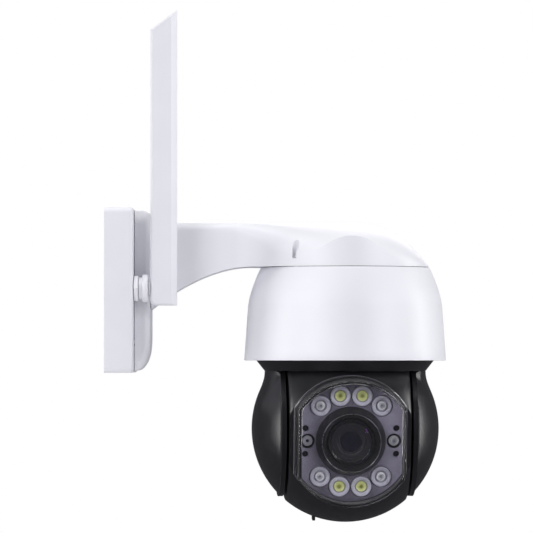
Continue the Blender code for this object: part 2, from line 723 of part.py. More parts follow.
def make_hub_nut(look, pan):
    low = DECK_Z + 0.1 + GAP
    inner = HUB_NECK_R + GAP
    turned("hub_nut", [(inner, low + 3.6), (10.0, low + 3.6), (10.8, low + 2.8), (10.8, low), (inner, low)],
           look, 24, frame=pan)


def make_pan_gear(look, pan):
    low = TURNTABLE_Z + GAP
    bore = circle(HUB_R + GAP, 32)
    plate("pan_gear", gear(PAN_GEAR_TEETH, 0), low, low + GEAR_THICK, look, [bore], frame=pan)


# ---------------------------------------------------------------- skirt and yoke

def make_skirt_ring(look, pan):
    top = SKIRT_MOUTH_Z + SKIRT_HEIGHT
    turned("skirt_ring", [(SKIRT_TOP_R - SKIRT_WALL - 0.2, top), (SKIRT_TOP_R, top),
                          (SKIRT_MOUTH_R, SKIRT_MOUTH_Z), (SKIRT_MOUTH_R - SKIRT_WALL, SKIRT_MOUTH_Z)],
           look, SIDES, frame=pan)


def make_yoke_plate(mark, facing, look, pan):
    radius = math.sqrt(BALL_R ** 2 - CAP_IN ** 2) - 1.4
    half = YOKE_NECK_HALF_WIDTH
    start = math.degrees(math.acos(half / radius))
    top = TURNTABLE_Z - TURNTABLE_THICK - GAP - BALL_Z
    outline = arc(radius, start, -180 - start, 36) + [(-half, top), (half, top)]
    plate(f"yoke_plate_{mark}", outline, YOKE_IN, YOKE_OUT, look, [circle(AXLE_R + GAP)], frame=pan,
          at=(0, 0, BALL_Z), facing=facing)


def cap_profile(radius, start, steps=5):
    """Profile of a ball's side from its pole in to a flat base."""
    end = math.degrees(math.asin(start / radius))
    return arc(radius, 90, end, steps) + [(0, start)]


def neck_block(name, side, radius, half, start, low, high, pan, look=None):
    """A block whose outer face is round about the pan axis."""
    angle = math.degrees(math.asin(half / radius))
    outline = [(side * x, y) for x, y in [(start, -half)] + arc(radius, -angle, angle, 8) + [(start, half)]]
    return plate(name, outline, low, high, look, frame=pan, at=(0, 0, BALL_Z))


def make_yoke_cover(mark, side, facing, look, pan):
    place = {"frame": pan, "at": (0, 0, BALL_Z), "facing": facing}
    profile = cap_profile(BALL_R, CAP_IN)
    profile[0] = (0, BALL_R)
    cover = turned(f"yoke_cover_{mark}", profile, look, **place)
    top = SKIRT_MOUTH_Z - GAP - BALL_Z
    neck = neck_block(f"neck_{mark}", side, SKIRT_MOUTH_R, COVER_NECK_HALF_WIDTH, CAP_IN,
                      top - COVER_NECK_HEIGHT, top, pan)
    join(cover, neck)
    inner = cap_profile(BALL_R - BALL_WALL, CAP_IN - 1)
    inner[0] = (0, BALL_R - BALL_WALL)
    hollow = turned(f"yoke_hollow_{mark}", inner, **place)
    neck_hollow = neck_block(f"neck_hollow_{mark}", side, SKIRT_MOUTH_R - BALL_WALL,
                             COVER_NECK_HALF_WIDTH - BALL_WALL, CAP_IN - 1, 0, top - BALL_WALL, pan)
    cut(cover, hollow, neck_hollow)


def make_tilt_axle_left(look, pan):
    """Axle that also carries the fixed tilt gear inside the ball."""
    flange = YOKE_OUT + GAP
    turned("tilt_axle_left", [(0, flange + 1.9), (AXLE_FLANGE_R, flange + 1.9), (AXLE_FLANGE_R, flange),
                              (AXLE_R, flange), (AXLE_R, AXLE_SEAT), (AXLE_TIP_R, AXLE_SEAT),
                              (AXLE_TIP_R, AXLE_SEAT - 4.5), (0, AXLE_SEAT - 4.5)],
           look, SMALL_SIDES, frame=pan, at=(0, 0, BALL_Z), facing=FACING_MINUS_X)


def make_tilt_axle_right(look, pan):
    """Hollow axle: the cables pass through it."""
    flange = YOKE_OUT + GAP
    bore = AXLE_R - 2
    turned("tilt_axle_right", [(bore, flange + 1.9), (AXLE_FLANGE_R, flange + 1.9), (AXLE_FLANGE_R, flange),
                               (AXLE_R, flange), (AXLE_R, AXLE_SEAT), (bore, AXLE_SEAT)],
           look, SMALL_SIDES, frame=pan, at=(0, 0, BALL_Z), facing=FACING_X)


def tilt_gear_span():
    """Heights of the tilt gear along +X, on the left axle."""
    return GAP - AXLE_SEAT, GAP - AXLE_SEAT + 3.6


def make_tilt_gear(look, pan):
    low, high = tilt_gear_span()
    plate("tilt_gear", gear(TILT_GEAR_TEETH, 0), low, high, look, [circle(AXLE_TIP_R + GAP)], frame=pan,
          at=(0, 0, BALL_Z), facing=FACING_X)


# ---------------------------------------------------------------- tilting head

def tilt_pinion_distance():
    return GEAR_MODULE * (TILT_GEAR_TEETH + PINION_TEETH) / 2 + GEAR_PLAY


def make_tilt_pinion(look, tilt):
    low, high = tilt_gear_span()
    turn = meshing_turn(TILT_GEAR_TEETH, -REST_TILT, 0)
    place = {"frame": tilt, "at": (0, tilt_pinion_distance(), 0), "facing": FACING_X}
    pinion = plate("tilt_pinion", gear(PINION_TEETH, turn), low, high, look, **place)
    shaft = rod("tilt_pinion_shaft", SHAFT_R, low + 1, high + 0.9, sides=12, **place)
    join(pinion, shaft)


def make_tilt_motor(look, tilt):
    low = tilt_gear_span()[1] + 0.9 + GAP
    rod("tilt_motor", TILT_MOTOR_R, low, low + MOTOR_LENGTH, look, 32, frame=tilt,
        at=(0, tilt_pinion_distance() + MOTOR_OFFSET - 2, 0), facing=FACING_X)


def drum(name, radius, half_width, tilt, look=None, steps=8):
    """A ball cut flat on both sides, turned about the tilt axis."""
    end = math.degrees(math.asin(half_width / radius))
    profile = [(0, half_width)] + arc(radius, end, -end, steps) + [(0, -half_width)]
    return turned(name, profile, look, frame=tilt, facing=FACING_X)


def make_head_rear_shell(look, tilt):
    shell = drum("head_rear_shell", BALL_R, DRUM_HALF_WIDTH, tilt, look)
    hollow = drum("rear_hollow", BALL_R - BALL_WALL, DRUM_HALF_WIDTH - BALL_WALL, tilt)
    front = box("rear_split", (-100, -100, -100), (100, SPLIT_Y + GAP / 2, 100), frame=tilt)
    axle = rod("rear_axle_hole", AXLE_R + 0.4, -50, 50, frame=tilt, facing=FACING_X)
    slot = box("card_slot", (CARD_X - CARD_LENGTH / 2 - GAP, CARD_Y - CARD_WIDTH / 2 - GAP, -BALL_R - 5),
               (CARD_X + CARD_LENGTH / 2 + GAP, CARD_Y + CARD_WIDTH / 2 + GAP, IO_BOARD_Z - 4), frame=tilt)
    cut(shell, hollow, front, axle, slot)


def make_head_front_shell(look, tilt):
    shell = drum("head_front_shell", BALL_R, DRUM_HALF_WIDTH, tilt, look)
    face = box("face_cut", (-100, -100, -100), (100, FACE_Y, 100), frame=tilt)
    back = box("front_split", (-100, SPLIT_Y - GAP / 2, -100), (100, 100, 100), frame=tilt)
    hollow = drum("front_hollow", BALL_R - BALL_WALL, DRUM_HALF_WIDTH - BALL_WALL, tilt)
    rim = box("face_rim", (-100, -100, -100), (100, FACE_Y + FACE_RIM_THICK, 100), frame=tilt)
    cut(hollow, rim)
    mouth = plate("face_mouth", clipped_circle(FACE_R - FACE_RIM, FACE_HALF_WIDTH - FACE_RIM + 0.2), -5, 5,
                  frame=tilt, at=(0, FACE_Y, 0), facing=FACING_LENS)
    cut(shell, face, back, hollow, mouth)


def make_head_seal(look, tilt):
    """Rubber band inside the joint of the two shells."""
    half = SEAL_WIDTH / 2
    radius = math.sqrt((BALL_R - BALL_WALL) ** 2 - (half - SPLIT_Y) ** 2) - GAP - FACET_SAG
    half_width = DRUM_HALF_WIDTH - BALL_WALL - GAP
    plate("head_seal", clipped_circle(radius, half_width), -half, half, look,
          [clipped_circle(radius - 1.5, half_width - 1.5)], frame=tilt, at=(0, SPLIT_Y, 0), facing=FACING_LENS)


def face_place(tilt, x=0.0, z=0.0):
    """Where a piece on the face stands: heights along the lens axis count from the ball's rim."""
    return {"frame": tilt, "at": (x, FACE_Y, z), "facing": FACING_LENS}


def make_window(look, tilt):
    def ring(height, inset):
        """The tray's outline at a height, inset by a wall."""
        share = height / WINDOW_DEPTH
        radius = FACE_R + (WINDOW_FRONT_R - FACE_R) * share - inset
        half_width = FACE_HALF_WIDTH + (WINDOW_FRONT_HALF_WIDTH - FACE_HALF_WIDTH) * share - inset
        return [(x, y, height) for x, y in clipped_circle(radius, half_width)]

    window = loft("window", [ring(GAP, 0), ring(WINDOW_DEPTH - 1, 0), ring(WINDOW_DEPTH, 0.8)], look,
                  **face_place(tilt))
    hollow = loft("window_hollow", [ring(-1, WINDOW_WALL), ring(WINDOW_DEPTH - WINDOW_WALL, WINDOW_WALL)],
                  **face_place(tilt))
    cut(window, hollow)


def led_places():
    """Name and place of each LED: four infrared outside, four white inside."""
    places = []
    for kind, angle in (("ir", LED_OUTER_ANGLE), ("white", LED_INNER_ANGLE)):
        corners = (90 + angle, 90 - angle, 270 - angle, 270 + angle)
        for number, corner in enumerate(corners, 1):
            x = LED_RING_R * math.cos(math.radians(corner))
            z = LED_RING_R * math.sin(math.radians(corner))
            places.append((f"{kind}_led_lens_{number}", x, z))
    return places


def make_led_plate(look, tilt):
    inset = WINDOW_WALL + LED_PLATE_MARGIN
    outline = clipped_circle(FACE_R - inset, FACE_HALF_WIDTH - inset)
    holes = [circle(LED_CUP_R + GAP, SMALL_SIDES, (x, z)) for _, x, z in led_places()]
    holes += [circle(SENSOR_HOLE_R, 16, (side * SENSOR_X, 0)) for side in (-1, 1)]
    holes.append(circle(HOOD_BORE_R, 32))
    plate("led_plate", outline, GAP, GAP + LED_PLATE_THICK, look, holes, **face_place(tilt))


def led_board_front():
    return -FACE_RIM_THICK - GAP


def make_led_board(look, tilt):
    high = led_board_front()
    ball = math.sqrt((BALL_R - BALL_WALL) ** 2 - (FACE_Y - high) ** 2)
    outline = clipped_circle(ball - 1.2, DRUM_HALF_WIDTH - BALL_WALL - 1.9)
    plate("led_board", outline, high - LED_BOARD_THICK, high, look, [circle(HOOD_BORE_R, 32)],
          **face_place(tilt))


def make_led_lenses(looks, tilt):
    """Cups with a flared mouth, standing on the LED board."""
    low = led_board_front() + GAP
    front = LED_CUP_FRONT
    profile = [(0, front - 2.2), (2.7, front - 2.2), (LED_CUP_R - 0.8, front), (LED_CUP_R, front),
               (LED_CUP_R, low), (0, low)]
    for name, x, z in led_places():
        turned(name, profile, looks[name.split("_")[0]], SMALL_SIDES, **face_place(tilt, x, z))


def make_lens_hood(look, tilt):
    low = GAP + LED_PLATE_THICK + GAP
    turned("lens_hood", [(HOOD_FRONT_R - 0.8, HOOD_FRONT), (HOOD_FRONT_R, HOOD_FRONT), (HOOD_BASE_R, low),
                         (HOOD_BORE_R, low), (HOOD_BORE_R, HOOD_FRONT - 4.2)], look, **face_place(tilt))


def make_lens_barrel(look, tilt):
    radius = HOOD_BORE_R - 0.4
    low = GAP - SENSOR_BOARD_BACK + BOARD_THICK
    turned("lens_barrel", [(0, 2.8), (5.0, 2.4), (6.0, 3.4), (6.8, 3.4), (radius - 1.1, 5.2), (radius, 5.2),
                           (radius, -5.2), (7.5, -5.2), (7.5, low), (0, low)], look, 32, **face_place(tilt))


def make_lens_glass(look, tilt):
    radius = HOOD_BORE_R - 0.4
    rise = 1.8
    crown = [(radius * i / 5, 6.4 + rise * (1 - (i / 5) ** 2)) for i in range(6)]
    turned("lens_glass", crown + [(radius, 5.5), (0, 5.5)], look, 32, **face_place(tilt))


def make_face_sensors(sensor, capsule, tilt):
    low = led_board_front() + GAP
    turned("light_sensor", [(0, 1.5), (2.4, 1.2), (2.6, 0.7), (SENSOR_R, 0.7), (SENSOR_R, low), (0, low)],
           sensor, 16, **face_place(tilt, SENSOR_X))
    turned("microphone", [(0, 0.2), (0.8, 0.2), (0.8, 1.2), (SENSOR_R, 1.2), (SENSOR_R, low), (0, low)],
           capsule, 16, **face_place(tilt, -SENSOR_X))


def make_sensor_board(look, tilt):
    back = FACE_Y + SENSOR_BOARD_BACK
    half = SENSOR_BOARD_HALF
    box("sensor_board", (-half, back - BOARD_THICK, -half), (half, back, half), look, tilt)


def make_io_board(look, tilt):
    box("io_board", (CARD_X - 10, CARD_Y - 7, IO_BOARD_Z), (CARD_X + 10, CARD_Y + 7, IO_BOARD_Z + BOARD_THICK),
        look, tilt)


def make_reset_button(look, tilt):
    high = IO_BOARD_Z - 1.2
    rod("reset_button", RESET_R, high - RESET_LENGTH, high, look, 16, frame=tilt, at=(CARD_X, CARD_Y, 0))


def make_card_cover(look, tilt):
    """Plug whose outer face is the ball's own surface, with a tab to pull."""
    surface = -math.sqrt(BALL_R ** 2 - CARD_X ** 2 - CARD_Y ** 2)
    half_x = CARD_LENGTH / 2
    half_y = CARD_WIDTH / 2
    cover = box("card_cover", (CARD_X - half_x, CARD_Y - half_y, -BALL_R - 2),
                (CARD_X + half_x, CARD_Y + half_y, surface + CARD_PLUG_DEPTH), look, tilt)
    form = drum("card_form", BALL_R, DRUM_HALF_WIDTH, tilt)
    tab = box("card_tab", (CARD_X - CARD_TAB_WIDTH / 2, CARD_Y - 2.5, surface - CARD_TAB_DROP),
              (CARD_X + CARD_TAB_WIDTH / 2, CARD_Y + 2.5, surface + 2), frame=tilt)
    combine(cover, [form], 'INTERSECT')
    join(cover, tab)


# ---------------------------------------------------------------- antenna

def make_antenna_nut(look):
    corner = NUT_FLATS / math.sqrt(3)
    plate("antenna_nut", circle(corner, 6), COVER_BACK_X, NUT_FRONT_X, look,
          [circle(SOCKET_THREAD_R + GAP)], at=(0, ANTENNA_Y, ANTENNA_Z), facing=FACING_X)


def make_antenna_socket(look):
    """Threaded socket: its tail passes the nut and the base, its disc faces the blade."""
    back = NUT_FRONT_X + GAP
    disc = back + 2
    front = disc + SOCKET_DISC_THICK
    bore = ANTENNA_SHAFT_R + GAP
    profile = [(bore, front), (SOCKET_DISC_R - 0.8, front), (SOCKET_DISC_R, front - 0.8),
               (SOCKET_DISC_R, disc + 0.8), (SOCKET_DISC_R - 0.8, disc), (SOCKET_BARREL_R, disc),
               (SOCKET_BARREL_R, back), (SOCKET_THREAD_R, back), (SOCKET_THREAD_R, BASE_DEPTH - 4.4),
               (1.5, BASE_DEPTH - 4.4), (1.5, BASE_DEPTH + 1.3), (bore, BASE_DEPTH + 1.3)]
    turned("antenna_socket", profile, look, 28, at=(0, ANTENNA_Y, ANTENNA_Z), facing=FACING_X)


def make_antenna_shaft(look, swing):
    front = NUT_FRONT_X + GAP + 2 + SOCKET_DISC_THICK + GAP
    profile = [(0, BLADE_X + 4.4), (ANTENNA_SHAFT_R, BLADE_X + 4.4), (ANTENNA_SHAFT_R, BLADE_X - GAP),
               (ANTENNA_COLLAR_R, BLADE_X - GAP), (ANTENNA_COLLAR_R, front), (ANTENNA_SHAFT_R, front),
               (ANTENNA_SHAFT_R, BASE_DEPTH + 1.6), (0, BASE_DEPTH + 1.6)]
    turned("antenna_shaft", profile, look, SMALL_SIDES, frame=swing, facing=FACING_X)


def blade_ring(y, inset, front_inset):
    """The blade's outline at a depth, drawn in by its bevels."""
    back = BLADE_X + inset
    front = BLADE_X + ANTENNA_WIDTH - front_inset
    low = inset - ANTENNA_BELOW
    heel = ANTENNA_HEEL_R
    slope = ANTENNA_SLANT / ANTENNA_WIDTH
    top = ANTENNA_ABOVE - inset
    outline = arc(heel, 180, 270, 4, (back + heel, low + heel))
    outline += [(front, low), (front, top - slope * front_inset), (back, top - slope * (front_inset + front - back))]
    return [(x, y, z) for x, z in outline]


def make_antenna_shell(name, side, look, swing):
    half = ANTENNA_THICK / 2
    rings = [blade_ring(side * GAP / 2, 0, 0), blade_ring(side * (half - ANTENNA_SKIN), 0, 0),
             blade_ring(side * half, ANTENNA_BEVEL, ANTENNA_FRONT_BEVEL)]
    shell = loft(name, rings, look, frame=swing)
    skin = ANTENNA_SKIN
    hollow = box(f"{name}_hollow", (BLADE_X + skin, skin - half, ANTENNA_SHAFT_R - 1),
                 (BLADE_X + ANTENNA_WIDTH - skin - 2, half - skin, ANTENNA_ABOVE - ANTENNA_SLANT - 6), frame=swing)
    bore = rod(f"{name}_bore", ANTENNA_SHAFT_R + GAP, BLADE_X - 1, BLADE_X + 4.7, frame=swing, facing=FACING_X)
    cut(shell, hollow, bore)


def make_antenna_element(look, swing):
    middle = BLADE_X + ANTENNA_WIDTH / 2 - 1
    high = ANTENNA_ABOVE - ANTENNA_SLANT - 8
    box("antenna_element", (middle - 4, -0.4, high - 120), (middle + 4, 0.4, high), look, swing)


# ---------------------------------------------------------------- assembly

def main():
    start_scene()
    white = finish("white_abs", (0.84, 0.84, 0.87), 0.42)
    black = finish("black_abs", (0.018, 0.018, 0.020), 0.35)
    grey = finish("grey_plate", (0.10, 0.095, 0.115), 0.45)
    clear = finish("clear_polycarbonate", (0.75, 0.77, 0.80), 0.08)
    glass = finish("coated_glass", (0.02, 0.02, 0.05), 0.04)
    rubber = finish("black_rubber", (0.02, 0.02, 0.02), 0.8)
    steel = finish("steel", (0.55, 0.55, 0.57), 0.35, 1.0)
    nylon = finish("white_nylon", (0.80, 0.79, 0.74), 0.5)
    board = finish("circuit_board", (0.02, 0.16, 0.07), 0.5)
    sleeve = finish("battery_sleeve", (0.02, 0.10, 0.35), 0.3)
    silver = finish("plated_cup", (0.62, 0.62, 0.64), 0.2, 0.9)
    phosphor = finish("phosphor_cup", (0.62, 0.66, 0.30), 0.4)

    make_wall_plate(steel)
    make_wall_base(white)
    make_base_cover(white)
    make_power_parts(sleeve, board, black)
    make_arm_canopy(white)
    make_arm_bottom_cover(white)
    make_canopy_screws(steel)
    make_canopy_seal(rubber)
    make_housing_bowl(white)
    make_bottom_plate(white)
    make_main_board(board)
    make_motor_deck(nylon)
    make_pan_motor(steel)
    make_pan_bearing(steel)
    make_pan_pinion(nylon)

    pan = add_axis("pan_axis", (REACH, 0, 0), (0, 0, REST_PAN))
    make_turntable(nylon, pan)
    make_hub_nut(nylon, pan)
    make_pan_gear(nylon, pan)
    make_skirt_ring(black, pan)
    for mark, side, facing in (("left", -1, FACING_MINUS_X), ("right", 1, FACING_X)):
        make_yoke_plate(mark, facing, black, pan)
        make_yoke_cover(mark, side, facing, black, pan)
    make_tilt_axle_left(nylon, pan)
    make_tilt_axle_right(nylon, pan)
    make_tilt_gear(nylon, pan)

    tilt = add_axis("tilt_axis", (0, 0, BALL_Z), (REST_TILT, 0, 0), pan)
    make_tilt_pinion(nylon, tilt)
    make_tilt_motor(steel, tilt)
    make_head_rear_shell(black, tilt)
    make_head_front_shell(black, tilt)
    make_head_seal(rubber, tilt)
    make_window(clear, tilt)
    make_led_plate(grey, tilt)
    make_led_board(board, tilt)
    make_led_lenses({"ir": silver, "white": phosphor}, tilt)
    make_lens_hood(black, tilt)
    make_lens_barrel(black, tilt)
    make_lens_glass(glass, tilt)
    make_face_sensors(phosphor, steel, tilt)
    make_sensor_board(board, tilt)
    make_io_board(board, tilt)
    make_reset_button(steel, tilt)
    make_card_cover(rubber, tilt)

    swing = add_axis("antenna_axis", (0, ANTENNA_Y, ANTENNA_Z))
    make_antenna_nut(white)
    make_antenna_socket(white)
    make_antenna_shaft(white, swing)
    make_antenna_shell("antenna_front_shell", -1, white, swing)
    make_antenna_shell("antenna_back_shell", 1, white, swing)
    make_antenna_element(board, swing)


main()
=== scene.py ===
"""Looks of a pan-and-tilt security camera, built piece by piece around its CAD frame.

Shapes are worked out in millimetres and made in metres. X runs out from the wall, Z is up, and the
lens looks along -Y.
"""
import json
import math

import bmesh
import bpy
from bpy.props import FloatProperty, FloatVectorProperty, IntProperty, PointerProperty
from mathutils import Matrix, Vector


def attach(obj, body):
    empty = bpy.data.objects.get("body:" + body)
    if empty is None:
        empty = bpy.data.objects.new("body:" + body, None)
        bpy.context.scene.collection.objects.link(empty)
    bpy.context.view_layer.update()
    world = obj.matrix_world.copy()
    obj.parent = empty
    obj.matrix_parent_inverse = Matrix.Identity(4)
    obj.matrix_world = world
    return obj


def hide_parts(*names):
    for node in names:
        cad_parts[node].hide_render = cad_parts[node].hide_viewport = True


bl_info = {
    "name": "Pan-and-Tilt Security Camera",
    "version": (1, 0, 0),
    "blender": (4, 5, 0),
    "location": "3D View > Sidebar > Camera",
    "description": "Builds the casings, optics, lamps, antenna and studio of a wall-mounted camera",
    "category": "Object",
}

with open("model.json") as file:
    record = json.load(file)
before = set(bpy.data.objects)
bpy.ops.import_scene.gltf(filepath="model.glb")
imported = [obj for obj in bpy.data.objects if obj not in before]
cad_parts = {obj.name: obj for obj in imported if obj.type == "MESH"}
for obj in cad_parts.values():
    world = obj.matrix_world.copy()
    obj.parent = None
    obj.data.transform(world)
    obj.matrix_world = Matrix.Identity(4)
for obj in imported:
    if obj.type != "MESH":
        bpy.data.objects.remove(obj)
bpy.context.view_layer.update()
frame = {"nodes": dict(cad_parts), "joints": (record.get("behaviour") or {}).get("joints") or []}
JOINTS = {joint["name"]: joint for joint in frame["joints"]}

MM = 0.001
GAP = 0.3
WALL = 2.2

# Wall base and cover
BASE_DEPTH = 16.4
BASE_HALF_WIDTH = 45.0
BASE_HALF_HEIGHT = 46.5
BASE_WALL = 2.5
SCREW_INSET = 7.0
POST_R = 6.5
POST_BACK_X = 3.3
SCREW_R = 2.5
SINK_R = 5.0
SINK_DEPTH = 4
COVER_BACK_X = BASE_DEPTH + GAP
COVER_FRONT_X = COVER_BACK_X + 8.8
COVER_HALF_WIDTH = 29.0
COVER_HALF_HEIGHT = BASE_HALF_HEIGHT - 1.1
COVER_CORNER_R = 9.5
CHIN_DEPTH = 8.2
CHIN_HEIGHT = 16.0
INLET_X = 8.75
WIRE_HOLE_R = 4.0
WIRE_HOLE_Z = 18.0

# Arm, canopy and bowl
REACH = JOINTS["pan"]["pos_m"][0] / MM
SEAM_Z = 13.4
CANOPY_BOTTOM_Z = SEAM_Z + GAP / 2
BOWL_TOP_Z = SEAM_Z - GAP / 2
DOME_R = 47.9
DOME_SHOULDER = 12.5
DOME_DRAFT = 0.06
ARM_ROOT_X = COVER_FRONT_X + GAP
ARM_HALF_WIDTH = 19.5
ARM_ROOT_HALF_WIDTH = 22.0
ARM_ROOT_TAPER = 33.0
ARM_DROP = 24.0
ARM_CORNER = 5.0
ARM_SIDE_WALL = 2.5
FLARE_START = 65.5
FLARE_END = 28.3
ARM_KNEE = 54.3
CANOPY_SCREW_Y = math.sqrt(46.0 ** 2 - FLARE_END ** 2)
CANOPY_SCREW_FLOOR_Z = 18.8
BOWL_BOTTOM_Z = -39.6
BOWL_SHOULDER_Z = -8.6
BOWL_RIM_INSET = 5.7
DECK_Z = -7.0
CANOPY_WALL = 2.4
CANOPY_SINK_R = 2.1
CANOPY_SINK_DROP = 0.9  # how far the sinks go below CANOPY_SCREW_FLOOR_Z
CANOPY_HOLE_R = 1.3

# Skirt, yoke and ball
SKIRT_MOUTH_R = 45.9
SKIRT_TOP_R = 50.6
SKIRT_MOUTH_Z = BOWL_BOTTOM_Z - 6.0
SKIRT_TOP_Z = SKIRT_MOUTH_Z + 6.4
SHELL_WALL = 2.0
BALL_Z = JOINTS["tilt"]["pos_m"][2] / MM
TURNTABLE_BOTTOM_Z = -22.0
YOKE_IN = 35.5
YOKE_OUT = 37.2
CAP_IN = YOKE_OUT + GAP
NECK_TOP = SKIRT_MOUTH_Z - 0.02 - BALL_Z
FRONT_SHELL_DEPTH = 21.0
FACE_R = 37.0
FACE_HALF_WIDTH = 31.8
FACE_RIM = 3.6

# Face: heights count along the lens axis from the ball's front rim
WINDOW_FRONT_R = 36.0
WINDOW_FRONT_HALF_WIDTH = 29.8
WINDOW_WALL = 1.8
PLATE_LOW = GAP
PLATE_HIGH = 2.3
LAMP_LOW = -2.0
HOOD_BORE_R = 13.5
BARREL_R = HOOD_BORE_R - 0.4
GLASS_R = 11.3
SENSOR_X = 24.3
SENSOR_HOLE_R = 4.2
PLATE_SCREW_HOLE_R = 1.75
MASK_SHORT = 1.0  # how far the lining stops short of the window's front wall
PLATE_SCREWS = [(side * 25.6, end * 7.3) for side in (-1, 1) for end in (-1, 1)]

# Card cover and antenna
CARD_X = -18.0
CARD_Y = -6.6
ANTENNA_Y = -37.5
ANTENNA_Z = 0.9
NUT_THICK = 2.3
NUT_ACROSS_FLATS = 14
SOCKET_DISC_THICK = 3.3
BLADE_X = COVER_BACK_X + NUT_THICK + 6.9
BLADE_WIDTH = 14.9
BLADE_BELOW = 9.6
BLADE_ABOVE = 156.5

# Studio
FLOOR_R = 1600
FLOOR_Z = -450
VIEW_X = 91.1
EYE_Z = -39.0
AIM_Z = 14.0

# Directions in which a turned or flat piece can face: its local Z goes to the axis named.
OUT_X = Matrix(((0, 0, 1, 0), (1, 0, 0, 0), (0, 1, 0, 0), (0, 0, 0, 1)))
OUT_MINUS_X = Matrix(((0, 0, -1, 0), (-1, 0, 0, 0), (0, 1, 0, 0), (0, 0, 0, 1)))
OUT_LENS = Matrix(((1, 0, 0, 0), (0, 0, -1, 0), (0, 1, 0, 0), (0, 0, 0, 1)))


def shift(x=0.0, y=0.0, z=0.0):
    """A move in millimetres."""
    return Matrix.Translation(Vector((x, y, z)) * MM)


REST_PAN = math.atan2(JOINTS["tilt"]["axis"][1], JOINTS["tilt"]["axis"][0])
REST_TILT = math.acos(-JOINTS["card_cover_pull"]["axis"][2])
AT_WALL = Matrix.Identity(4)
AT_CANOPY = shift(REACH)
AT_TURRET = shift(REACH) @ Matrix.Rotation(REST_PAN, 4, 'Z')
AT_BALL = AT_TURRET @ shift(z=BALL_Z)
AT_HEAD = AT_BALL @ Matrix.Rotation(REST_TILT, 4, 'X')
AT_ANTENNA = shift(0, ANTENNA_Y, ANTENNA_Z)


# ---------------------------------------------------------------- sizes and colours

def linear(hex_colour):
    """Turn an sRGB hex colour into linear red, green and blue."""
    parts = [int(hex_colour[i:i + 2], 16) / 255 for i in (0, 2, 4)]
    return tuple(c / 12.92 if c <= 0.04045 else ((c + 0.055) / 1.055) ** 2.4 for c in parts)


def length(name, description, millimetres):
    """A length for the panel, given in millimetres."""
    return FloatProperty(name=name, description=description, default=millimetres * MM, min=0.0,
                         unit='LENGTH', precision=4)


def colour(name, description, hex_colour):
    """A colour for the panel, given in sRGB hex."""
    return FloatVectorProperty(name=name, description=description, default=linear(hex_colour), size=3,
                               min=0.0, max=1.0, subtype='COLOR')


class CameraBracketSizes(bpy.types.PropertyGroup):
    """Sizes of the wall base, arm, canopy and bowl."""
    base_edge: length("Base Edge", "Round along the wall base's front edges", 1.7)
    cover_edge: length("Cover Edge", "Round along the base cover's front edges", 3.5)
    canopy_rise: length("Canopy Rise", "Height of the canopy's top above its seam", 25.0)
    bowl_flare: length("Bowl Flare", "How much wider the bowl is at its bottom than the canopy", 9.6)
    bowl_shoulder: length("Bowl Shoulder", "How far the bowl rounds in below the seam", 5.64)
    screw_head: length("Screw Head", "Radius of the canopy screws' heads", 1.8)


class CameraHeadSizes(bpy.types.PropertyGroup):
    """Sizes of the ball, its window and its lamps."""
    ball_radius: length("Ball Radius", "Radius of the ball and of its yoke covers", 53.3)
    drum_half_width: length("Drum Half Width", "Half the width of the part that tilts", 34.4)
    window_depth: length("Window Depth", "How far the clear window stands out", 14.5)
    lamp_ring: length("Lamp Ring Radius", "Radius of the ring that the eight lamps stand on", 26.5)
    lamp_radius: length("Lamp Radius", "Outer radius of a lamp's cup", 5.7)
    hood_depth: length("Hood Depth", "How far the lens hood stands out", 9.0)
    neck_blend: length("Neck Blend", "Size of the hollow between a yoke cover's neck and its round side", 3.0)


class CameraAntennaSizes(bpy.types.PropertyGroup):
    """Sizes of the antenna blade."""
    thickness: length("Thickness", "Thickness of the blade", 9.0)
    slant: length("Slant", "How much lower the blade's tip is at its back", 11.0)
    front_bevel: length("Front Bevel", "Width of the facets along the blade's front", 3.3)
    heel: length("Heel", "Round at the blade's lower back corner", 2.9)


class CameraFinishes(bpy.types.PropertyGroup):
    """Colours of the finishes."""
    white: colour("White Plastic", "Moulded casing, arm and antenna", "EDEDF2")
    black: colour("Black Plastic", "Moulded ball, yoke covers and skirt", "1D1D20")
    lamp_plate: colour("Lamp Plate", "Painted plate behind the window", "6E6A77")
    lamp_cup: colour("Lamp Cup", "Frosted cups round the lamps", "B9B7C3")
    phosphor: colour("Phosphor", "Gel over the white lamps", "CBD088")
    coating: colour("Lens Coating", "Dark glass of the lens", "15151A")
    acetal: colour("Acetal", "Gears, hub and motor deck", "E6E3D8")
    solder_mask: colour("Solder Mask", "Circuit boards", "1E5B38")
    sleeve: colour("Battery Sleeve", "Shrunk sleeve round the cells", "2C5E9E")


class CameraStudio(bpy.types.PropertyGroup):
    """Camera and lamps."""
    distance: length("Distance", "Camera to object", 2600.0)
    lens: FloatProperty(name="Lens", description="Focal length in millimetres", default=308.0, min=10.0)
    top_power: FloatProperty(name="Top Power", description="Power of the soft box above", default=23.0,
                             min=0.0, unit='POWER')
    key_power: FloatProperty(name="Key Power", description="Power of each soft box in front",
                             default=25.5, min=0.0, unit='POWER')
    side_power: FloatProperty(name="Side Power", description="Power of each strip box at the side",
                              default=20.0, min=0.0, unit='POWER')
    facets: IntProperty(name="Facets", description="Facets round a large turned piece", default=128, min=32)


def sizes(group):
    """A property group's lengths in millimetres."""
    return {key: getattr(group, key) / MM for key in type(group).__annotations__}


# ---------------------------------------------------------------- outlines

def arc(radius, start, end, steps, middle=(0, 0)):
    """Points along an arc, in degrees from +X, with both ends."""
    angles = [math.radians(start + (end - start) * i / steps) for i in range(steps + 1)]
    return [(middle[0] + radius * math.cos(a), middle[1] + radius * math.sin(a)) for a in angles]


def circle(radius, sides=48, middle=(0, 0)):
    return arc(radius, 0, 360, sides, middle)[:-1]


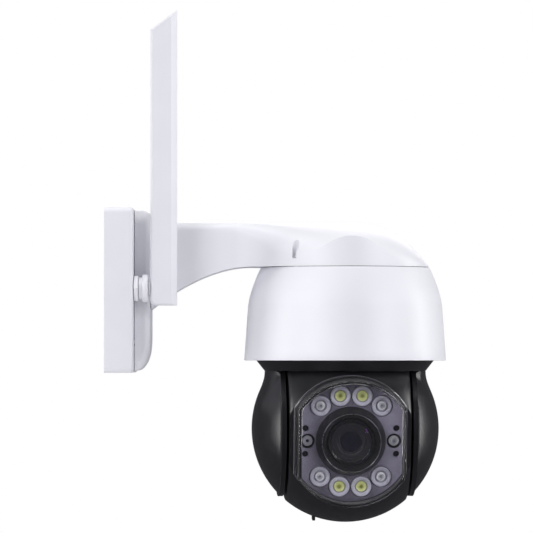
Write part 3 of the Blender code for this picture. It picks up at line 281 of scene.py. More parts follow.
def rounded_rectangle(half_width, low, high, radius, steps=8):
    """An upright rectangle about x = 0 with round corners."""
    x = half_width - radius
    middles = ((x, high - radius), (-x, high - radius), (-x, low + radius), (x, low + radius))
    return [point for quarter, middle in enumerate(middles)
            for point in arc(radius, 90 * quarter, 90 * quarter + 90, steps, middle)]


def clipped_circle(radius, half_width, steps=32):
    """A circle with its left and right sides cut straight."""
    start = math.degrees(math.acos(half_width / radius))
    return arc(radius, start, 180 - start, steps) + arc(radius, 180 + start, 360 - start, steps)


# ---------------------------------------------------------------- meshes

def closed_mesh(shape):
    """Turn a bmesh into a mesh with its faces outward."""
    bmesh.ops.recalc_face_normals(shape, faces=shape.faces)
    mesh = bpy.data.meshes.new("shape")
    shape.to_mesh(mesh)
    shape.free()
    return mesh


def turned(profile, sides=96):
    """Turn (radius, height) points about Z. A profile that starts off the axis closes into a ring."""
    shape = bmesh.new()
    rows = []
    for radius, height in profile:
        count = sides if radius > 0 else 1
        angles = [math.tau * i / sides for i in range(count)]
        rows.append([shape.verts.new((radius * MM * math.cos(a), radius * MM * math.sin(a), height * MM))
                     for a in angles])
    pairs = list(zip(rows, rows[1:]))
    if profile[0][0] > 0:
        pairs.append((rows[-1], rows[0]))
    for near, far in pairs:
        for i in range(sides):
            j = (i + 1) % sides
            corners = [near[i % len(near)], near[j % len(near)], far[j % len(far)], far[i % len(far)]]
            unique = list(dict.fromkeys(corners))
            if len(unique) > 2:
                shape.faces.new(unique)
    return closed_mesh(shape)


def slab(outline, low, high, holes=(), edge=0.0):
    """Extrude a flat outline in XY with holes, and round its edges."""
    curve = bpy.data.curves.new("outline", 'CURVE')
    curve.dimensions = '2D'
    curve.fill_mode = 'BOTH'
    curve.extrude = ((high - low) / 2 - edge) * MM
    curve.bevel_depth = edge * MM
    curve.bevel_resolution = 3
    curve.offset = -edge * MM
    for loop in (outline, *holes):
        spline = curve.splines.new('POLY')
        spline.points.add(len(loop) - 1)
        spline.use_cyclic_u = True
        for point, (x, y) in zip(spline.points, loop):
            point.co = (x * MM, y * MM, 0, 1)
    flat = bpy.data.objects.new("outline", curve)
    bpy.context.scene.collection.objects.link(flat)
    mesh = bpy.data.meshes.new_from_object(flat.evaluated_get(bpy.context.evaluated_depsgraph_get()))
    bpy.data.objects.remove(flat)
    bpy.data.curves.remove(curve)
    shape = bmesh.new()
    shape.from_mesh(mesh)
    bmesh.ops.remove_doubles(shape, verts=shape.verts, dist=0.000001)
    bmesh.ops.translate(shape, vec=(0, 0, (high + low) / 2 * MM), verts=shape.verts)
    return closed_mesh(shape)


def skinned(rings):
    """Skin closed rings that have the same number of points, and cap both ends."""
    shape = bmesh.new()
    loops = [[shape.verts.new(Vector(point) * MM) for point in ring] for ring in rings]
    for near, far in zip(loops, loops[1:]):
        for i, vert in enumerate(near):
            j = (i + 1) % len(near)
            shape.faces.new((vert, near[j], far[j], far[i]))
    shape.faces.new(loops[0])
    shape.faces.new(loops[-1])
    return closed_mesh(shape)


def block(low, high):
    """A box between two corners, for cutting."""
    (x0, y0, z0), (x1, y1, z1) = low, high
    return skinned([[(x0, y0, z), (x1, y0, z), (x1, y1, z), (x0, y1, z)] for z in (z0, z1)])


def moved(mesh, where):
    mesh.transform(where)
    return mesh


def carved(mesh, tools, operation='DIFFERENCE'):
    """Cut a mesh by others, or join or intersect it with them, by exact Booleans."""
    blank = bpy.data.objects.new("blank", mesh)
    bpy.context.scene.collection.objects.link(blank)
    used = [blank]
    for tool_mesh in tools:
        tool = bpy.data.objects.new("tool", tool_mesh)
        bpy.context.scene.collection.objects.link(tool)
        used.append(tool)
        boolean = blank.modifiers.new("Cut", 'BOOLEAN')
        boolean.operation = operation
        boolean.solver = 'EXACT'
        boolean.object = tool
    result = bpy.data.meshes.new_from_object(blank.evaluated_get(bpy.context.evaluated_depsgraph_get()))
    for obj in used:
        bpy.data.objects.remove(obj)
    if not result.polygons:
        raise RuntimeError("a cut left nothing of a piece")
    return result


def smooth_max(a, b, blend):
    """The larger of two heights, with a hollow of the given size where they cross."""
    share = max(blend - abs(a - b), 0.0) / blend
    return max(a, b) + share * share * blend / 4


def show(name, mesh, where, finish, body, slot, *nodes, crease=32, edge=0.0, round_piece=False):
    """Place a piece, let it ride on its body, and hide the CAD nodes it stands for.

    A small round piece keeps its own axes, because its finish is laid out round them.
    """
    mesh.name = name
    if not round_piece:
        mesh.transform(where)
        where = AT_WALL
    mesh.materials.clear()
    mesh.materials.append(finish)
    mesh.shade_smooth()
    mesh.set_sharp_from_angle(angle=math.radians(crease))
    obj = bpy.data.objects.new(name, mesh)
    obj.matrix_world = where
    bpy.context.scene.collection.objects.link(obj)
    if edge:
        bevel = obj.modifiers.new("Edges", 'BEVEL')
        bevel.width = edge * MM
        bevel.segments = 3
        bevel.limit_method = 'ANGLE'
        bevel.angle_limit = math.radians(crease)
        bevel.harden_normals = True
    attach(obj, body)
    if nodes:
        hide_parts(*nodes)
    return obj


def dress(finish, *nodes):
    """Give carried-over CAD nodes a finish."""
    for node in nodes:
        mesh = frame["nodes"][node].data
        mesh.materials.clear()
        mesh.materials.append(finish)


# ---------------------------------------------------------------- materials

NOISE_RANGE = {"From Min": 0.3, "From Max": 0.7}  # most of a noise's values lie between these


def add_node(tree, kind, inputs=None, output=0, **settings):
    """Add a node, set its options, fill or link its inputs, and return the output asked for."""
    node = tree.nodes.new(kind)
    for option, value in settings.items():
        setattr(node, option, value)
    for socket, value in (inputs or {}).items():
        if isinstance(value, bpy.types.NodeSocket):
            tree.links.new(value, node.inputs[socket])
        else:
            node.inputs[socket].default_value = value
    return node.outputs[output] if node.outputs else None


def blank_material(name):
    """A material with an empty tree, and its object coordinates."""
    material = bpy.data.materials.new(name)
    material.use_nodes = True
    tree = material.node_tree
    tree.nodes.clear()
    return material, tree, add_node(tree, "ShaderNodeTexCoord", output="Object")


def shade(rgb, factor=1.0):
    """The same colour, lighter or darker, for a node's socket."""
    return (*[min(1.0, channel * factor) for channel in rgb], 1.0)


def per_mm(size):
    """The scale of a pattern whose lumps or cells are about a size in millimetres."""
    return 1 / (size * MM)


def moulded_abs(name, rgb, roughness, grain_mm, depth_mm):
    """ABS from a spark-eroded mould: a fine even grain that spreads highlights, faint flow clouds in
    the pigment, and a slightly uneven gloss. The real grain is about 0.1 mm and is drawn coarser."""
    material, tree, place = blank_material(name)
    clouds = add_node(tree, "ShaderNodeTexNoise", {"Vector": place, "Scale": per_mm(30)})
    tint = add_node(tree, "ShaderNodeMix", {0: clouds, 6: shade(rgb, 0.965), 7: shade(rgb, 1.03)}, 2,
                    data_type='RGBA')
    uneven = add_node(tree, "ShaderNodeTexNoise", {"Vector": place, "Scale": per_mm(5), "Detail": 3.0})
    gloss = add_node(tree, "ShaderNodeMapRange", {
        "Value": uneven, **NOISE_RANGE, "To Min": roughness - 0.035, "To Max": roughness + 0.035})
    grain = add_node(tree, "ShaderNodeTexNoise", {"Vector": place, "Scale": per_mm(grain_mm), "Detail": 1.0})
    relief = add_node(tree, "ShaderNodeBump", {"Height": grain, "Distance": depth_mm * MM, "Strength": 0.6})
    shader = add_node(tree, "ShaderNodeBsdfPrincipled", {
        "Base Color": tint, "Roughness": gloss, "IOR": 1.54, "Normal": relief})
    add_node(tree, "ShaderNodeOutputMaterial", {"Surface": shader})
    return material


def painted_plate(name, rgb):
    """Metallic paint sprayed on a moulded plate: fine light flakes in a grey ground, satin. Towards the left
    and right edges it is painted much lighter than round the lens, as painted light from the window's side
    walls."""
    material, tree, place = blank_material(name)
    # Painted light: from 12 mm out from the lens axis the tint blends up to the lit mix, which it reaches at 29
    # mm.
    dim_until, lit_from = 12 * MM, 29 * MM
    across = add_node(tree, "ShaderNodeSeparateXYZ", {0: place}, "X")
    from_middle = add_node(tree, "ShaderNodeMath", {0: across, 1: REACH * MM}, operation='SUBTRACT')
    distance = add_node(tree, "ShaderNodeMath", {0: from_middle}, operation='ABSOLUTE')
    painted_edge_light = add_node(tree, "ShaderNodeMapRange", {"Value": distance, "From Min": dim_until,
                                                  "From Max": lit_from}, interpolation_type='SMOOTHSTEP')
    flakes = add_node(tree, "ShaderNodeTexVoronoi", {"Vector": place, "Scale": per_mm(0.35)}, "Color")
    sparkle = add_node(tree, "ShaderNodeSeparateColor", {0: flakes})
    dim_tint = add_node(tree, "ShaderNodeMix", {0: sparkle, 6: shade(rgb, 0.86), 7: shade(rgb, 1.16)}, 2,
                    data_type='RGBA')
    # The lit mix is the same flakes painted about three times lighter, as painted light at the plate's left and
    # right edges.
    lit_tint = add_node(tree, "ShaderNodeMix", {0: sparkle, 6: shade(rgb, 2.9), 7: shade(rgb, 3.6)}, 2,
                     data_type='RGBA')
    tint = add_node(tree, "ShaderNodeMix", {0: painted_edge_light, 6: dim_tint, 7: lit_tint}, 2, data_type='RGBA')
    clouds = add_node(tree, "ShaderNodeTexNoise", {"Vector": place, "Scale": per_mm(8)})
    gloss = add_node(tree, "ShaderNodeMapRange", {
        "Value": clouds, **NOISE_RANGE, "To Min": 0.36, "To Max": 0.44})
    relief = add_node(tree, "ShaderNodeBump", {"Height": sparkle, "Distance": 0.01 * MM, "Strength": 0.3})
    shader = add_node(tree, "ShaderNodeBsdfPrincipled", {
        "Base Color": tint, "Roughness": gloss, "Metallic": 0.35, "Normal": relief})
    add_node(tree, "ShaderNodeOutputMaterial", {"Surface": shader})
    return material


def clear_plastic(name, rgb, ior, roughness, film=0.0):
    """Clear moulded sheet or glass. Lamp light passes straight through to what is behind it, and
    its faces keep a hard reflection with a faint ripple."""
    material, tree, place = blank_material(name)
    waves = add_node(tree, "ShaderNodeTexNoise", {"Vector": place, "Scale": per_mm(9)})
    ripple = add_node(tree, "ShaderNodeBump", {"Height": waves, "Distance": 0.02 * MM, "Strength": 0.04})
    mist = add_node(tree, "ShaderNodeTexNoise", {"Vector": place, "Scale": per_mm(4)})
    haze = add_node(tree, "ShaderNodeMapRange", {
        "Value": mist, **NOISE_RANGE, "To Min": roughness, "To Max": roughness + 0.015})
    glass = add_node(tree, "ShaderNodeBsdfPrincipled", {
        "Base Color": shade(rgb), "Roughness": haze, "IOR": ior, "Transmission Weight": 1.0,
        "Thin Film Thickness": film, "Thin Film IOR": 1.38, "Normal": ripple})
    air = add_node(tree, "ShaderNodeBsdfTransparent", {"Color": (0.93, 0.93, 0.94, 1.0)})
    ray = add_node(tree, "ShaderNodeLightPath", output="Is Shadow Ray")
    mixed = add_node(tree, "ShaderNodeMixShader", {0: ray, 1: glass, 2: air})
    add_node(tree, "ShaderNodeOutputMaterial", {"Surface": mixed})
    return material


def coated_glass(name, rgb):
    """Dark multi-coated glass: nearly black inside, with a violet tint in its reflections."""
    material, tree, place = blank_material(name)
    facing = add_node(tree, "ShaderNodeLayerWeight", {"Blend": 0.35}, "Facing")
    tint = add_node(tree, "ShaderNodeMix", {0: facing, 6: shade(rgb), 7: shade(linear("3A3350"))}, 2,
                    data_type='RGBA')
    waves = add_node(tree, "ShaderNodeTexNoise", {"Vector": place, "Scale": per_mm(6)})
    ripple = add_node(tree, "ShaderNodeBump", {"Height": waves, "Distance": 0.01 * MM, "Strength": 0.1})
    shader = add_node(tree, "ShaderNodeBsdfPrincipled", {
        "Base Color": tint, "Roughness": 0.04, "IOR": 1.6, "Coat Weight": 0.6, "Coat Roughness": 0.03,
        "Coat Tint": shade(linear("D8CFF0")), "Normal": ripple})
    add_node(tree, "ShaderNodeOutputMaterial", {"Surface": shader})
    return material


def moulded_rubber(name):
    """Silicone rubber: dull, with a dusty bloom and a soft grain."""
    material, tree, place = blank_material(name)
    bloom = add_node(tree, "ShaderNodeTexNoise", {"Vector": place, "Scale": per_mm(3), "Detail": 4.0})
    tint = add_node(tree, "ShaderNodeMix", {0: bloom, 6: shade(linear("141416")), 7: shade(linear("252528"))},
                    2, data_type='RGBA')
    gloss = add_node(tree, "ShaderNodeMapRange", {
        "Value": bloom, **NOISE_RANGE, "To Min": 0.68, "To Max": 0.82})
    grain = add_node(tree, "ShaderNodeTexNoise", {"Vector": place, "Scale": per_mm(0.5), "Detail": 1.0})
    relief = add_node(tree, "ShaderNodeBump", {"Height": grain, "Distance": 0.03 * MM, "Strength": 0.6})
    shader = add_node(tree, "ShaderNodeBsdfPrincipled", {
        "Base Color": tint, "Roughness": gloss, "IOR": 1.45, "Sheen Weight": 0.15, "Normal": relief})
    add_node(tree, "ShaderNodeOutputMaterial", {"Surface": shader})
    return material


def plated_metal(name, hex_colour, roughness, ring_mm):
    """Turned or stamped metal under bright plating: fine tool rings and a patchy gloss."""
    material, tree, place = blank_material(name)
    rings = add_node(tree, "ShaderNodeTexWave", {
        "Vector": place, "Scale": per_mm(ring_mm * math.tau), "Distortion": 1.5, "Detail": 2.0}, "Fac",
        wave_type='RINGS', rings_direction='Z')
    patches = add_node(tree, "ShaderNodeTexNoise", {"Vector": place, "Scale": per_mm(1.5), "Detail": 3.0})
    rgb = linear(hex_colour)
    tint = add_node(tree, "ShaderNodeMix", {0: patches, 6: shade(rgb, 0.9), 7: shade(rgb, 1.05)}, 2,
                    data_type='RGBA')
    gloss = add_node(tree, "ShaderNodeMapRange", {
        "Value": patches, **NOISE_RANGE, "To Min": roughness - 0.06, "To Max": roughness + 0.08})
    relief = add_node(tree, "ShaderNodeBump", {"Height": rings, "Distance": 0.01 * MM, "Strength": 0.3})
    shader = add_node(tree, "ShaderNodeBsdfPrincipled", {
        "Base Color": tint, "Metallic": 1.0, "Roughness": gloss, "Normal": relief})
    add_node(tree, "ShaderNodeOutputMaterial", {"Surface": shader})
    return material


def milky_plastic(name, rgb):
    """Moulded acetal, a frosted flange or silicone sealant: milky and waxy, so light sinks in a little
    and the gloss is soft."""
    material, tree, place = blank_material(name)
    clouds = add_node(tree, "ShaderNodeTexNoise", {"Vector": place, "Scale": per_mm(8)})
    tint = add_node(tree, "ShaderNodeMix", {0: clouds, 6: shade(rgb, 0.95), 7: shade(rgb, 1.03)}, 2,
                    data_type='RGBA')
    wax = add_node(tree, "ShaderNodeTexNoise", {"Vector": place, "Scale": per_mm(2)})
    gloss = add_node(tree, "ShaderNodeMapRange", {
        "Value": wax, **NOISE_RANGE, "To Min": 0.32, "To Max": 0.42})
    grain = add_node(tree, "ShaderNodeTexNoise", {"Vector": place, "Scale": per_mm(0.4), "Detail": 1.0})
    relief = add_node(tree, "ShaderNodeBump", {"Height": grain, "Distance": 0.01 * MM, "Strength": 0.6})
    shader = add_node(tree, "ShaderNodeBsdfPrincipled", {
        "Base Color": tint, "Roughness": gloss, "IOR": 1.48, "Subsurface Weight": 0.15,
        "Subsurface Radius": (0.002, 0.0018, 0.0014), "Subsurface Scale": 0.5, "Normal": relief})
    add_node(tree, "ShaderNodeOutputMaterial", {"Surface": shader})
    return material


def printed_board(name, rgb):
    """Glass-fibre board under solder mask: raised copper tracks about 0.5 mm wide show lighter."""
    material, tree, place = blank_material(name)
    cells = add_node(tree, "ShaderNodeTexVoronoi", {"Vector": place, "Scale": per_mm(2.4)}, "Distance",
                     distance='CHEBYCHEV', feature='DISTANCE_TO_EDGE')
    tracks = add_node(tree, "ShaderNodeMapRange", {"Value": cells, "From Min": 0.08, "From Max": 0.12,
                                                   "To Min": 1.0, "To Max": 0.0})
    tint = add_node(tree, "ShaderNodeMix", {0: tracks, 6: shade(rgb, 0.75), 7: shade(rgb, 1.5)}, 2,
                    data_type='RGBA')
    relief = add_node(tree, "ShaderNodeBump", {"Height": tracks, "Distance": 0.05 * MM, "Strength": 0.5})
    shader = add_node(tree, "ShaderNodeBsdfPrincipled", {
        "Base Color": tint, "Roughness": 0.3, "IOR": 1.52, "Normal": relief})
    add_node(tree, "ShaderNodeOutputMaterial", {"Surface": shader})
    return material


def shrunk_sleeve(name, rgb):
    """Heat-shrunk PVC film: glossy, with wrinkles across the cells."""
    material, tree, place = blank_material(name)
    stretched = add_node(tree, "ShaderNodeMapping", {"Vector": place, "Scale": (1.0, 1.0, 5.0)})
    wrinkles = add_node(tree, "ShaderNodeTexNoise", {"Vector": stretched, "Scale": per_mm(6)})
    tint = add_node(tree, "ShaderNodeMix", {0: wrinkles, 6: shade(rgb, 0.8), 7: shade(rgb, 1.1)}, 2,
                    data_type='RGBA')
    relief = add_node(tree, "ShaderNodeBump", {"Height": wrinkles, "Distance": 0.15 * MM, "Strength": 0.5})
    shader = add_node(tree, "ShaderNodeBsdfPrincipled", {
        "Base Color": tint, "Roughness": 0.22, "IOR": 1.53, "Normal": relief})
    add_node(tree, "ShaderNodeOutputMaterial", {"Surface": shader})
    return material


def radial_gel(name, middle_hex, rim_rgb, radius_mm, roughness):
    """Cast gel or epoxy in a cup: one colour over the chip and another out to the rim, under a clear skin."""
    material, tree, place = blank_material(name)
    flat = add_node(tree, "ShaderNodeVectorMath", {0: place, 1: (1.0, 1.0, 0.0)}, operation='MULTIPLY')
    distance = add_node(tree, "ShaderNodeVectorMath", {0: flat}, "Value", operation='LENGTH')
    share = add_node(tree, "ShaderNodeMapRange", {
        "Value": distance, "From Min": 0.25 * radius_mm * MM, "From Max": 0.75 * radius_mm * MM})
    tint = add_node(tree, "ShaderNodeMix", {0: share, 6: shade(linear(middle_hex)), 7: shade(rim_rgb)}, 2,
                    data_type='RGBA')
    patches = add_node(tree, "ShaderNodeTexNoise", {"Vector": place, "Scale": per_mm(0.8)})
    gloss = add_node(tree, "ShaderNodeMapRange", {
        "Value": patches, **NOISE_RANGE, "To Min": roughness, "To Max": roughness + 0.08})
    grain = add_node(tree, "ShaderNodeTexNoise", {"Vector": place, "Scale": per_mm(0.5), "Detail": 1.0})
    relief = add_node(tree, "ShaderNodeBump", {"Height": grain, "Distance": 0.01 * MM, "Strength": 0.3})
    shader = add_node(tree, "ShaderNodeBsdfPrincipled", {
        "Base Color": tint, "Roughness": gloss, "IOR": 1.5, "Coat Weight": 0.5, "Normal": relief})
    add_node(tree, "ShaderNodeOutputMaterial", {"Surface": shader})
    return material


def make_finishes():
    """Make each finish once, from the colours in the panel."""
    tones = bpy.context.scene.camera_finishes
    return {
        "white": moulded_abs("moulded_white_abs", tones.white, 0.42, 0.5, 0.012),
        "black": moulded_abs("moulded_black_abs", tones.black, 0.31, 0.5, 0.012),
        "polished": moulded_abs("polished_black_abs", linear("17171A"), 0.14, 0.6, 0.004),
        "barrel": moulded_abs("black_optics_abs", linear("1B1B17"), 0.5, 0.4, 0.01),
        "plate": painted_plate("painted_lamp_plate", tones.lamp_plate),
        "window": clear_plastic("clear_polycarbonate", (0.97, 0.97, 0.98), 1.585, 0.0),
        "lens": coated_glass("coated_lens_glass", tones.coating),
        "front_lens": clear_plastic("coated_front_element", (0.80, 0.80, 0.84), 1.6, 0.0, 300.0),
        "rubber": moulded_rubber("black_silicone_rubber"),
        "sealant": milky_plastic("clear_silicone_sealant", linear("A6A6AC")),
        "steel": plated_metal("zinc_plated_steel", "B6B8BC", 0.32, 0.3),
        "dark_steel": plated_metal("black_oxide_steel", "3A3A3D", 0.4, 0.3),
        "can": plated_metal("drawn_aluminium", "C4C6C8", 0.34, 0.5),
        "trim": plated_metal("anodised_trim", "8E8E93", 0.3, 0.2),
        "cup": milky_plastic("frosted_lamp_flange", tones.lamp_cup),
        "acetal": milky_plastic("moulded_acetal", tones.acetal),
        "board": printed_board("fr4_circuit_board", tones.solder_mask),
        "sleeve": shrunk_sleeve("pvc_battery_sleeve", tones.sleeve),
        "phosphor": radial_gel("phosphor_gel", "7F8636", tones.phosphor, 2.2, 0.3),
        "epoxy": radial_gel("infrared_lamp_epoxy", "8E8E94", linear("E4E4E8"), 2.4, 0.16),
    }


made_finishes = {}


def finish_of(name):
    """A finish by its short name. All of them are made on the first call."""
    if not made_finishes:
        made_finishes.update(make_finishes())
    return made_finishes[name]


# ---------------------------------------------------------------- wall base

def wall_base_mesh(edge):
    corner = 2 * edge
    rings = [[(0, y, z) for y, z in rounded_rectangle(BASE_HALF_WIDTH, -BASE_HALF_HEIGHT, BASE_HALF_HEIGHT,
                                                      corner)]]
    for i in range(7):
        angle = math.radians(15 * i)
        x = BASE_DEPTH - edge + edge * math.sin(angle)
        inset = edge * (1 - math.cos(angle))
        outline = rounded_rectangle(BASE_HALF_WIDTH - inset, inset - BASE_HALF_HEIGHT, BASE_HALF_HEIGHT - inset,
                                    corner - inset)
        rings.append([(x, y, z) for y, z in outline])
    half_y = BASE_HALF_WIDTH - BASE_WALL
    half_z = BASE_HALF_HEIGHT - BASE_WALL
    base = carved(skinned(rings), [block((-1, -half_y, -half_z), (BASE_DEPTH - WALL, half_y, half_z))])
    places = [(side * (BASE_HALF_WIDTH - SCREW_INSET), end * (BASE_HALF_HEIGHT - SCREW_INSET))
              for side in (-1, 1) for end in (-1, 1)]
    posts = [moved(slab(circle(POST_R), POST_BACK_X, BASE_DEPTH - 1), shift(0, *place) @ OUT_X)
             for place in places]
    base = carved(base, posts, 'UNION')
    cuts = []
    for place in places:
        cuts.append(moved(slab(circle(SCREW_R), -1, BASE_DEPTH + 1), shift(0, *place) @ OUT_X))
        sink = turned([(0, BASE_DEPTH + 1), (SINK_R + 0.5, BASE_DEPTH + 1), (SINK_R, BASE_DEPTH - 0.5),
                       (SINK_R, BASE_DEPTH - SINK_DEPTH), (0, BASE_DEPTH - SINK_DEPTH)], 48)
        cuts.append(moved(sink, shift(0, *place) @ OUT_X))
    cuts.append(block((3, 4 - COVER_HALF_WIDTH, 5.4 - COVER_HALF_HEIGHT),
                      (BASE_DEPTH + 1, COVER_HALF_WIDTH - 4, COVER_HALF_HEIGHT - 5.4)))
    cuts.append(moved(slab(circle(4.3), 3, BASE_DEPTH + 1), AT_ANTENNA @ OUT_X))
    cuts.append(moved(slab(circle(4.7), -BASE_HALF_HEIGHT - 1, 3.5 - BASE_HALF_HEIGHT), shift(INLET_X)))
    return carved(base, cuts)


def base_cover_mesh(edge):
    def inset(x, depth, rise):
        """How far an elliptical edge has turned in at a given x."""
        share = max(0.0, (x - (COVER_FRONT_X - depth)) / depth)
        return rise * (1 - math.sqrt(max(0.0, 1 - share ** 2)))

    stations = [COVER_BACK_X, COVER_FRONT_X - CHIN_DEPTH]
    stations += [COVER_FRONT_X - CHIN_DEPTH + (CHIN_DEPTH - edge) * i / 8 for i in range(1, 9)]
    stations += [COVER_FRONT_X - edge * (1 - math.sin(math.radians(a))) for a in range(10, 91, 10)]
    rings = []
    for x in stations:
        side = inset(x, edge, edge)
        chin = inset(x, CHIN_DEPTH, CHIN_HEIGHT)
        outline = rounded_rectangle(COVER_HALF_WIDTH - side, chin - COVER_HALF_HEIGHT,
                                    COVER_HALF_HEIGHT - side, COVER_CORNER_R - side, 14)
        rings.append([(x, y, z) for y, z in outline])
    hollow = block((COVER_BACK_X - 1, 3 - COVER_HALF_WIDTH, 9.4 - COVER_HALF_HEIGHT),
                   (COVER_FRONT_X - WALL, COVER_HALF_WIDTH - 3, COVER_HALF_HEIGHT - 3.4))
    hole = moved(slab(circle(WIRE_HOLE_R), COVER_FRONT_X - 5, COVER_FRONT_X + 1), shift(z=WIRE_HOLE_Z) @ OUT_X)
    return carved(skinned(rings), [hollow, hole])


# ---------------------------------------------------------------- arm, canopy and bowl

def arm_underside(x):
    """Height of the arm's underside: a curve that falls towards the wall."""
    knee = REACH - ARM_KNEE
    if x >= knee:
        return CANOPY_BOTTOM_Z
    return CANOPY_BOTTOM_Z - ARM_DROP * ((knee - x) / (knee - ARM_ROOT_X)) ** 1.825


def roof_height(distance, rise):
    """Height of the canopy at a distance from the pan axis."""
    return SEAM_Z + rise * (1 - min(1.0, distance / DOME_R) ** 2.65)


def rim_half_width(x):
    """Half the width at the seam: a straight arm, a flare, then the dome's circle."""
    beyond = x - REACH
    if beyond >= -FLARE_END:
        return math.sqrt(max(0.0, DOME_R ** 2 - beyond ** 2))
    if beyond <= -FLARE_START:
        near_root = max(0.0, 1 - (x - ARM_ROOT_X) / ARM_ROOT_TAPER)
        return ARM_HALF_WIDTH + (ARM_ROOT_HALF_WIDTH - ARM_HALF_WIDTH) * near_root ** 2
    span = FLARE_START - FLARE_END
    share = (beyond + FLARE_START) / span
    end = math.sqrt(DOME_R ** 2 - FLARE_END ** 2)
    end_slope = FLARE_END / end * span
    widening = end - ARM_HALF_WIDTH
    ease = 3 * share ** 2 - 2 * share ** 3
    return ARM_HALF_WIDTH + widening * ease + end_slope * (share ** 3 - share ** 2)


def canopy_half_section(x, rise, side_steps=5, round_steps=22):
    """Points (y, z) from the bottom edge up the side and over to the middle of the top."""
    beyond = x - REACH
    rim = rim_half_width(x)
    shoulder = rim + DOME_SHOULDER * math.exp(-((beyond - 3) / 14) ** 2)
    bottom = arm_underside(x)
    top = roof_height(max(0.0, beyond), rise)
    grow = min(1.0, max(0.0, (beyond + 67.5) / 50))
    grow = grow * grow * (3 - 2 * grow)
    corner_y = ARM_CORNER + (shoulder - ARM_CORNER) * grow
    corner_z = ARM_CORNER + (top - bottom - ARM_CORNER) * grow
    power = 2 / (2 + 0.2 * grow)

    def curve(angle):
        y = shoulder - corner_y + corner_y * max(0.0, math.cos(angle)) ** power
        return y, top - corner_z + corner_z * math.sin(angle) ** power

    def side(z):
        if beyond < -FLARE_END:
            return rim
        radius = DOME_R - DOME_DRAFT * (z - SEAM_Z)
        return math.sqrt(max(0.01, radius ** 2 - beyond ** 2))

    low, high = 0.0, math.pi / 2
    for _ in range(30):
        middle = (low + high) / 2
        y, z = curve(middle)
        if y > side(z):
            low = middle
        else:
            high = middle
    crease = high
    _, crease_z = curve(crease)
    heights = [bottom + (crease_z - bottom) * i / side_steps for i in range(side_steps)]
    points = [(side(z), z) for z in heights]
    for i in range(round_steps + 1):
        points.append(curve(crease + (math.pi / 2 - crease) * i / round_steps))
    points[-1] = (0.0, top)
    return points


def canopy_mesh(rise):
    stations = [ARM_ROOT_X + (REACH - FLARE_START - ARM_ROOT_X) * i / 12 for i in range(12)]
    stations += [REACH - FLARE_START + (FLARE_START - FLARE_END) * i / 16 for i in range(16)]
    start = math.degrees(math.acos(FLARE_END / DOME_R))
    stations += [REACH - DOME_R * math.cos(math.radians(start + (176 - start) * i / 44)) for i in range(45)]
    rings = []
    for x in stations:
        half = canopy_half_section(x, rise)
        rings.append([(x, y, z) for y, z in half] + [(x, -y, z) for y, z in reversed(half[:-1])])
    roof = [DOME_R * 0.935 * i / 12 for i in range(13)]
    dome = [(distance, roof_height(distance, rise) - CANOPY_WALL) for distance in roof]
    cuts = [moved(turned(dome + [(roof[-1], SEAM_Z - 5), (0, SEAM_Z - 5)], 64), AT_CANOPY)]
    half_y = ARM_HALF_WIDTH - ARM_SIDE_WALL
    cuts.append(block((ARM_ROOT_X + CANOPY_WALL, -half_y, CANOPY_BOTTOM_Z - ARM_DROP - 5),
                      (REACH - FLARE_END, half_y, SEAM_Z + rise - CANOPY_WALL)))
    cuts.append(moved(slab(circle(WIRE_HOLE_R), ARM_ROOT_X - 1, ARM_ROOT_X + 4), shift(z=WIRE_HOLE_Z) @ OUT_X))
    for side in (-1, 1):
        place = shift(REACH - FLARE_END, side * CANOPY_SCREW_Y)
        cuts.append(moved(slab(circle(CANOPY_SINK_R), CANOPY_SCREW_FLOOR_Z - CANOPY_SINK_DROP, 60), place))
        cuts.append(moved(slab(circle(CANOPY_HOLE_R, 24), SEAM_Z - 1, CANOPY_SCREW_FLOOR_Z + 1), place))
    return carved(skinned(rings), cuts)


def arm_bottom_cover_mesh():
    """A thin strip that closes the arm from below, with round long edges and a shallow groove."""
    start = ARM_ROOT_X + CANOPY_WALL + GAP
    end = REACH - DOME_R + 1.7
    half_y = ARM_HALF_WIDTH - ARM_SIDE_WALL - GAP
    rings = []
    for i in range(41):
        x = start + (end - start) * i / 40
        z = arm_underside(x)
        section = [(half_y, 2.0), (half_y, 0.4), (half_y - 0.4, 0.0), (half_y - 2.0, 0.0), (half_y - 2.2, 0.3),
                   (half_y - 2.6, 0.3), (half_y - 2.8, 0.0)]
        section += [(-y, rise) for y, rise in reversed(section)]
        rings.append([(x, y, z + rise) for y, rise in section])
    return skinned(rings)


def cross_head(radius, seat, height, recess):
    """A pan head with a tapered cross recess, for a small screw."""
    head = turned([(0, seat + height), (radius * 0.55, seat + height - 0.05),
                   (radius * 0.85, seat + height * 0.8), (radius, seat + height * 0.5), (radius, seat),
                   (0, seat)], 48)
    slots = []
    for long_x, long_y in ((1.0, 0.26), (0.26, 1.0)):
        rings = []
        for share, z in ((0.55, seat + height - recess), (1.0, seat + height + 0.1)):
            x = radius * 0.62 * long_x * share
            y = radius * 0.62 * long_y * share
            rings.append([(x, y, z), (-x, y, z), (-x, -y, z), (x, -y, z)])
        slots.append(skinned(rings))
    return carved(head, slots)


def bowl_radius(z, bracket):
    """Outer radius of the bowl: a drafted wall with a shoulder that rounds in to the seam."""
    radius = DOME_R + bracket["bowl_flare"] - 0.0707 * (z - BOWL_BOTTOM_Z)
    share = max(0.0, (z - BOWL_SHOULDER_Z) / (BOWL_TOP_Z - BOWL_SHOULDER_Z))
    return radius - bracket["bowl_shoulder"] * share ** 1.55


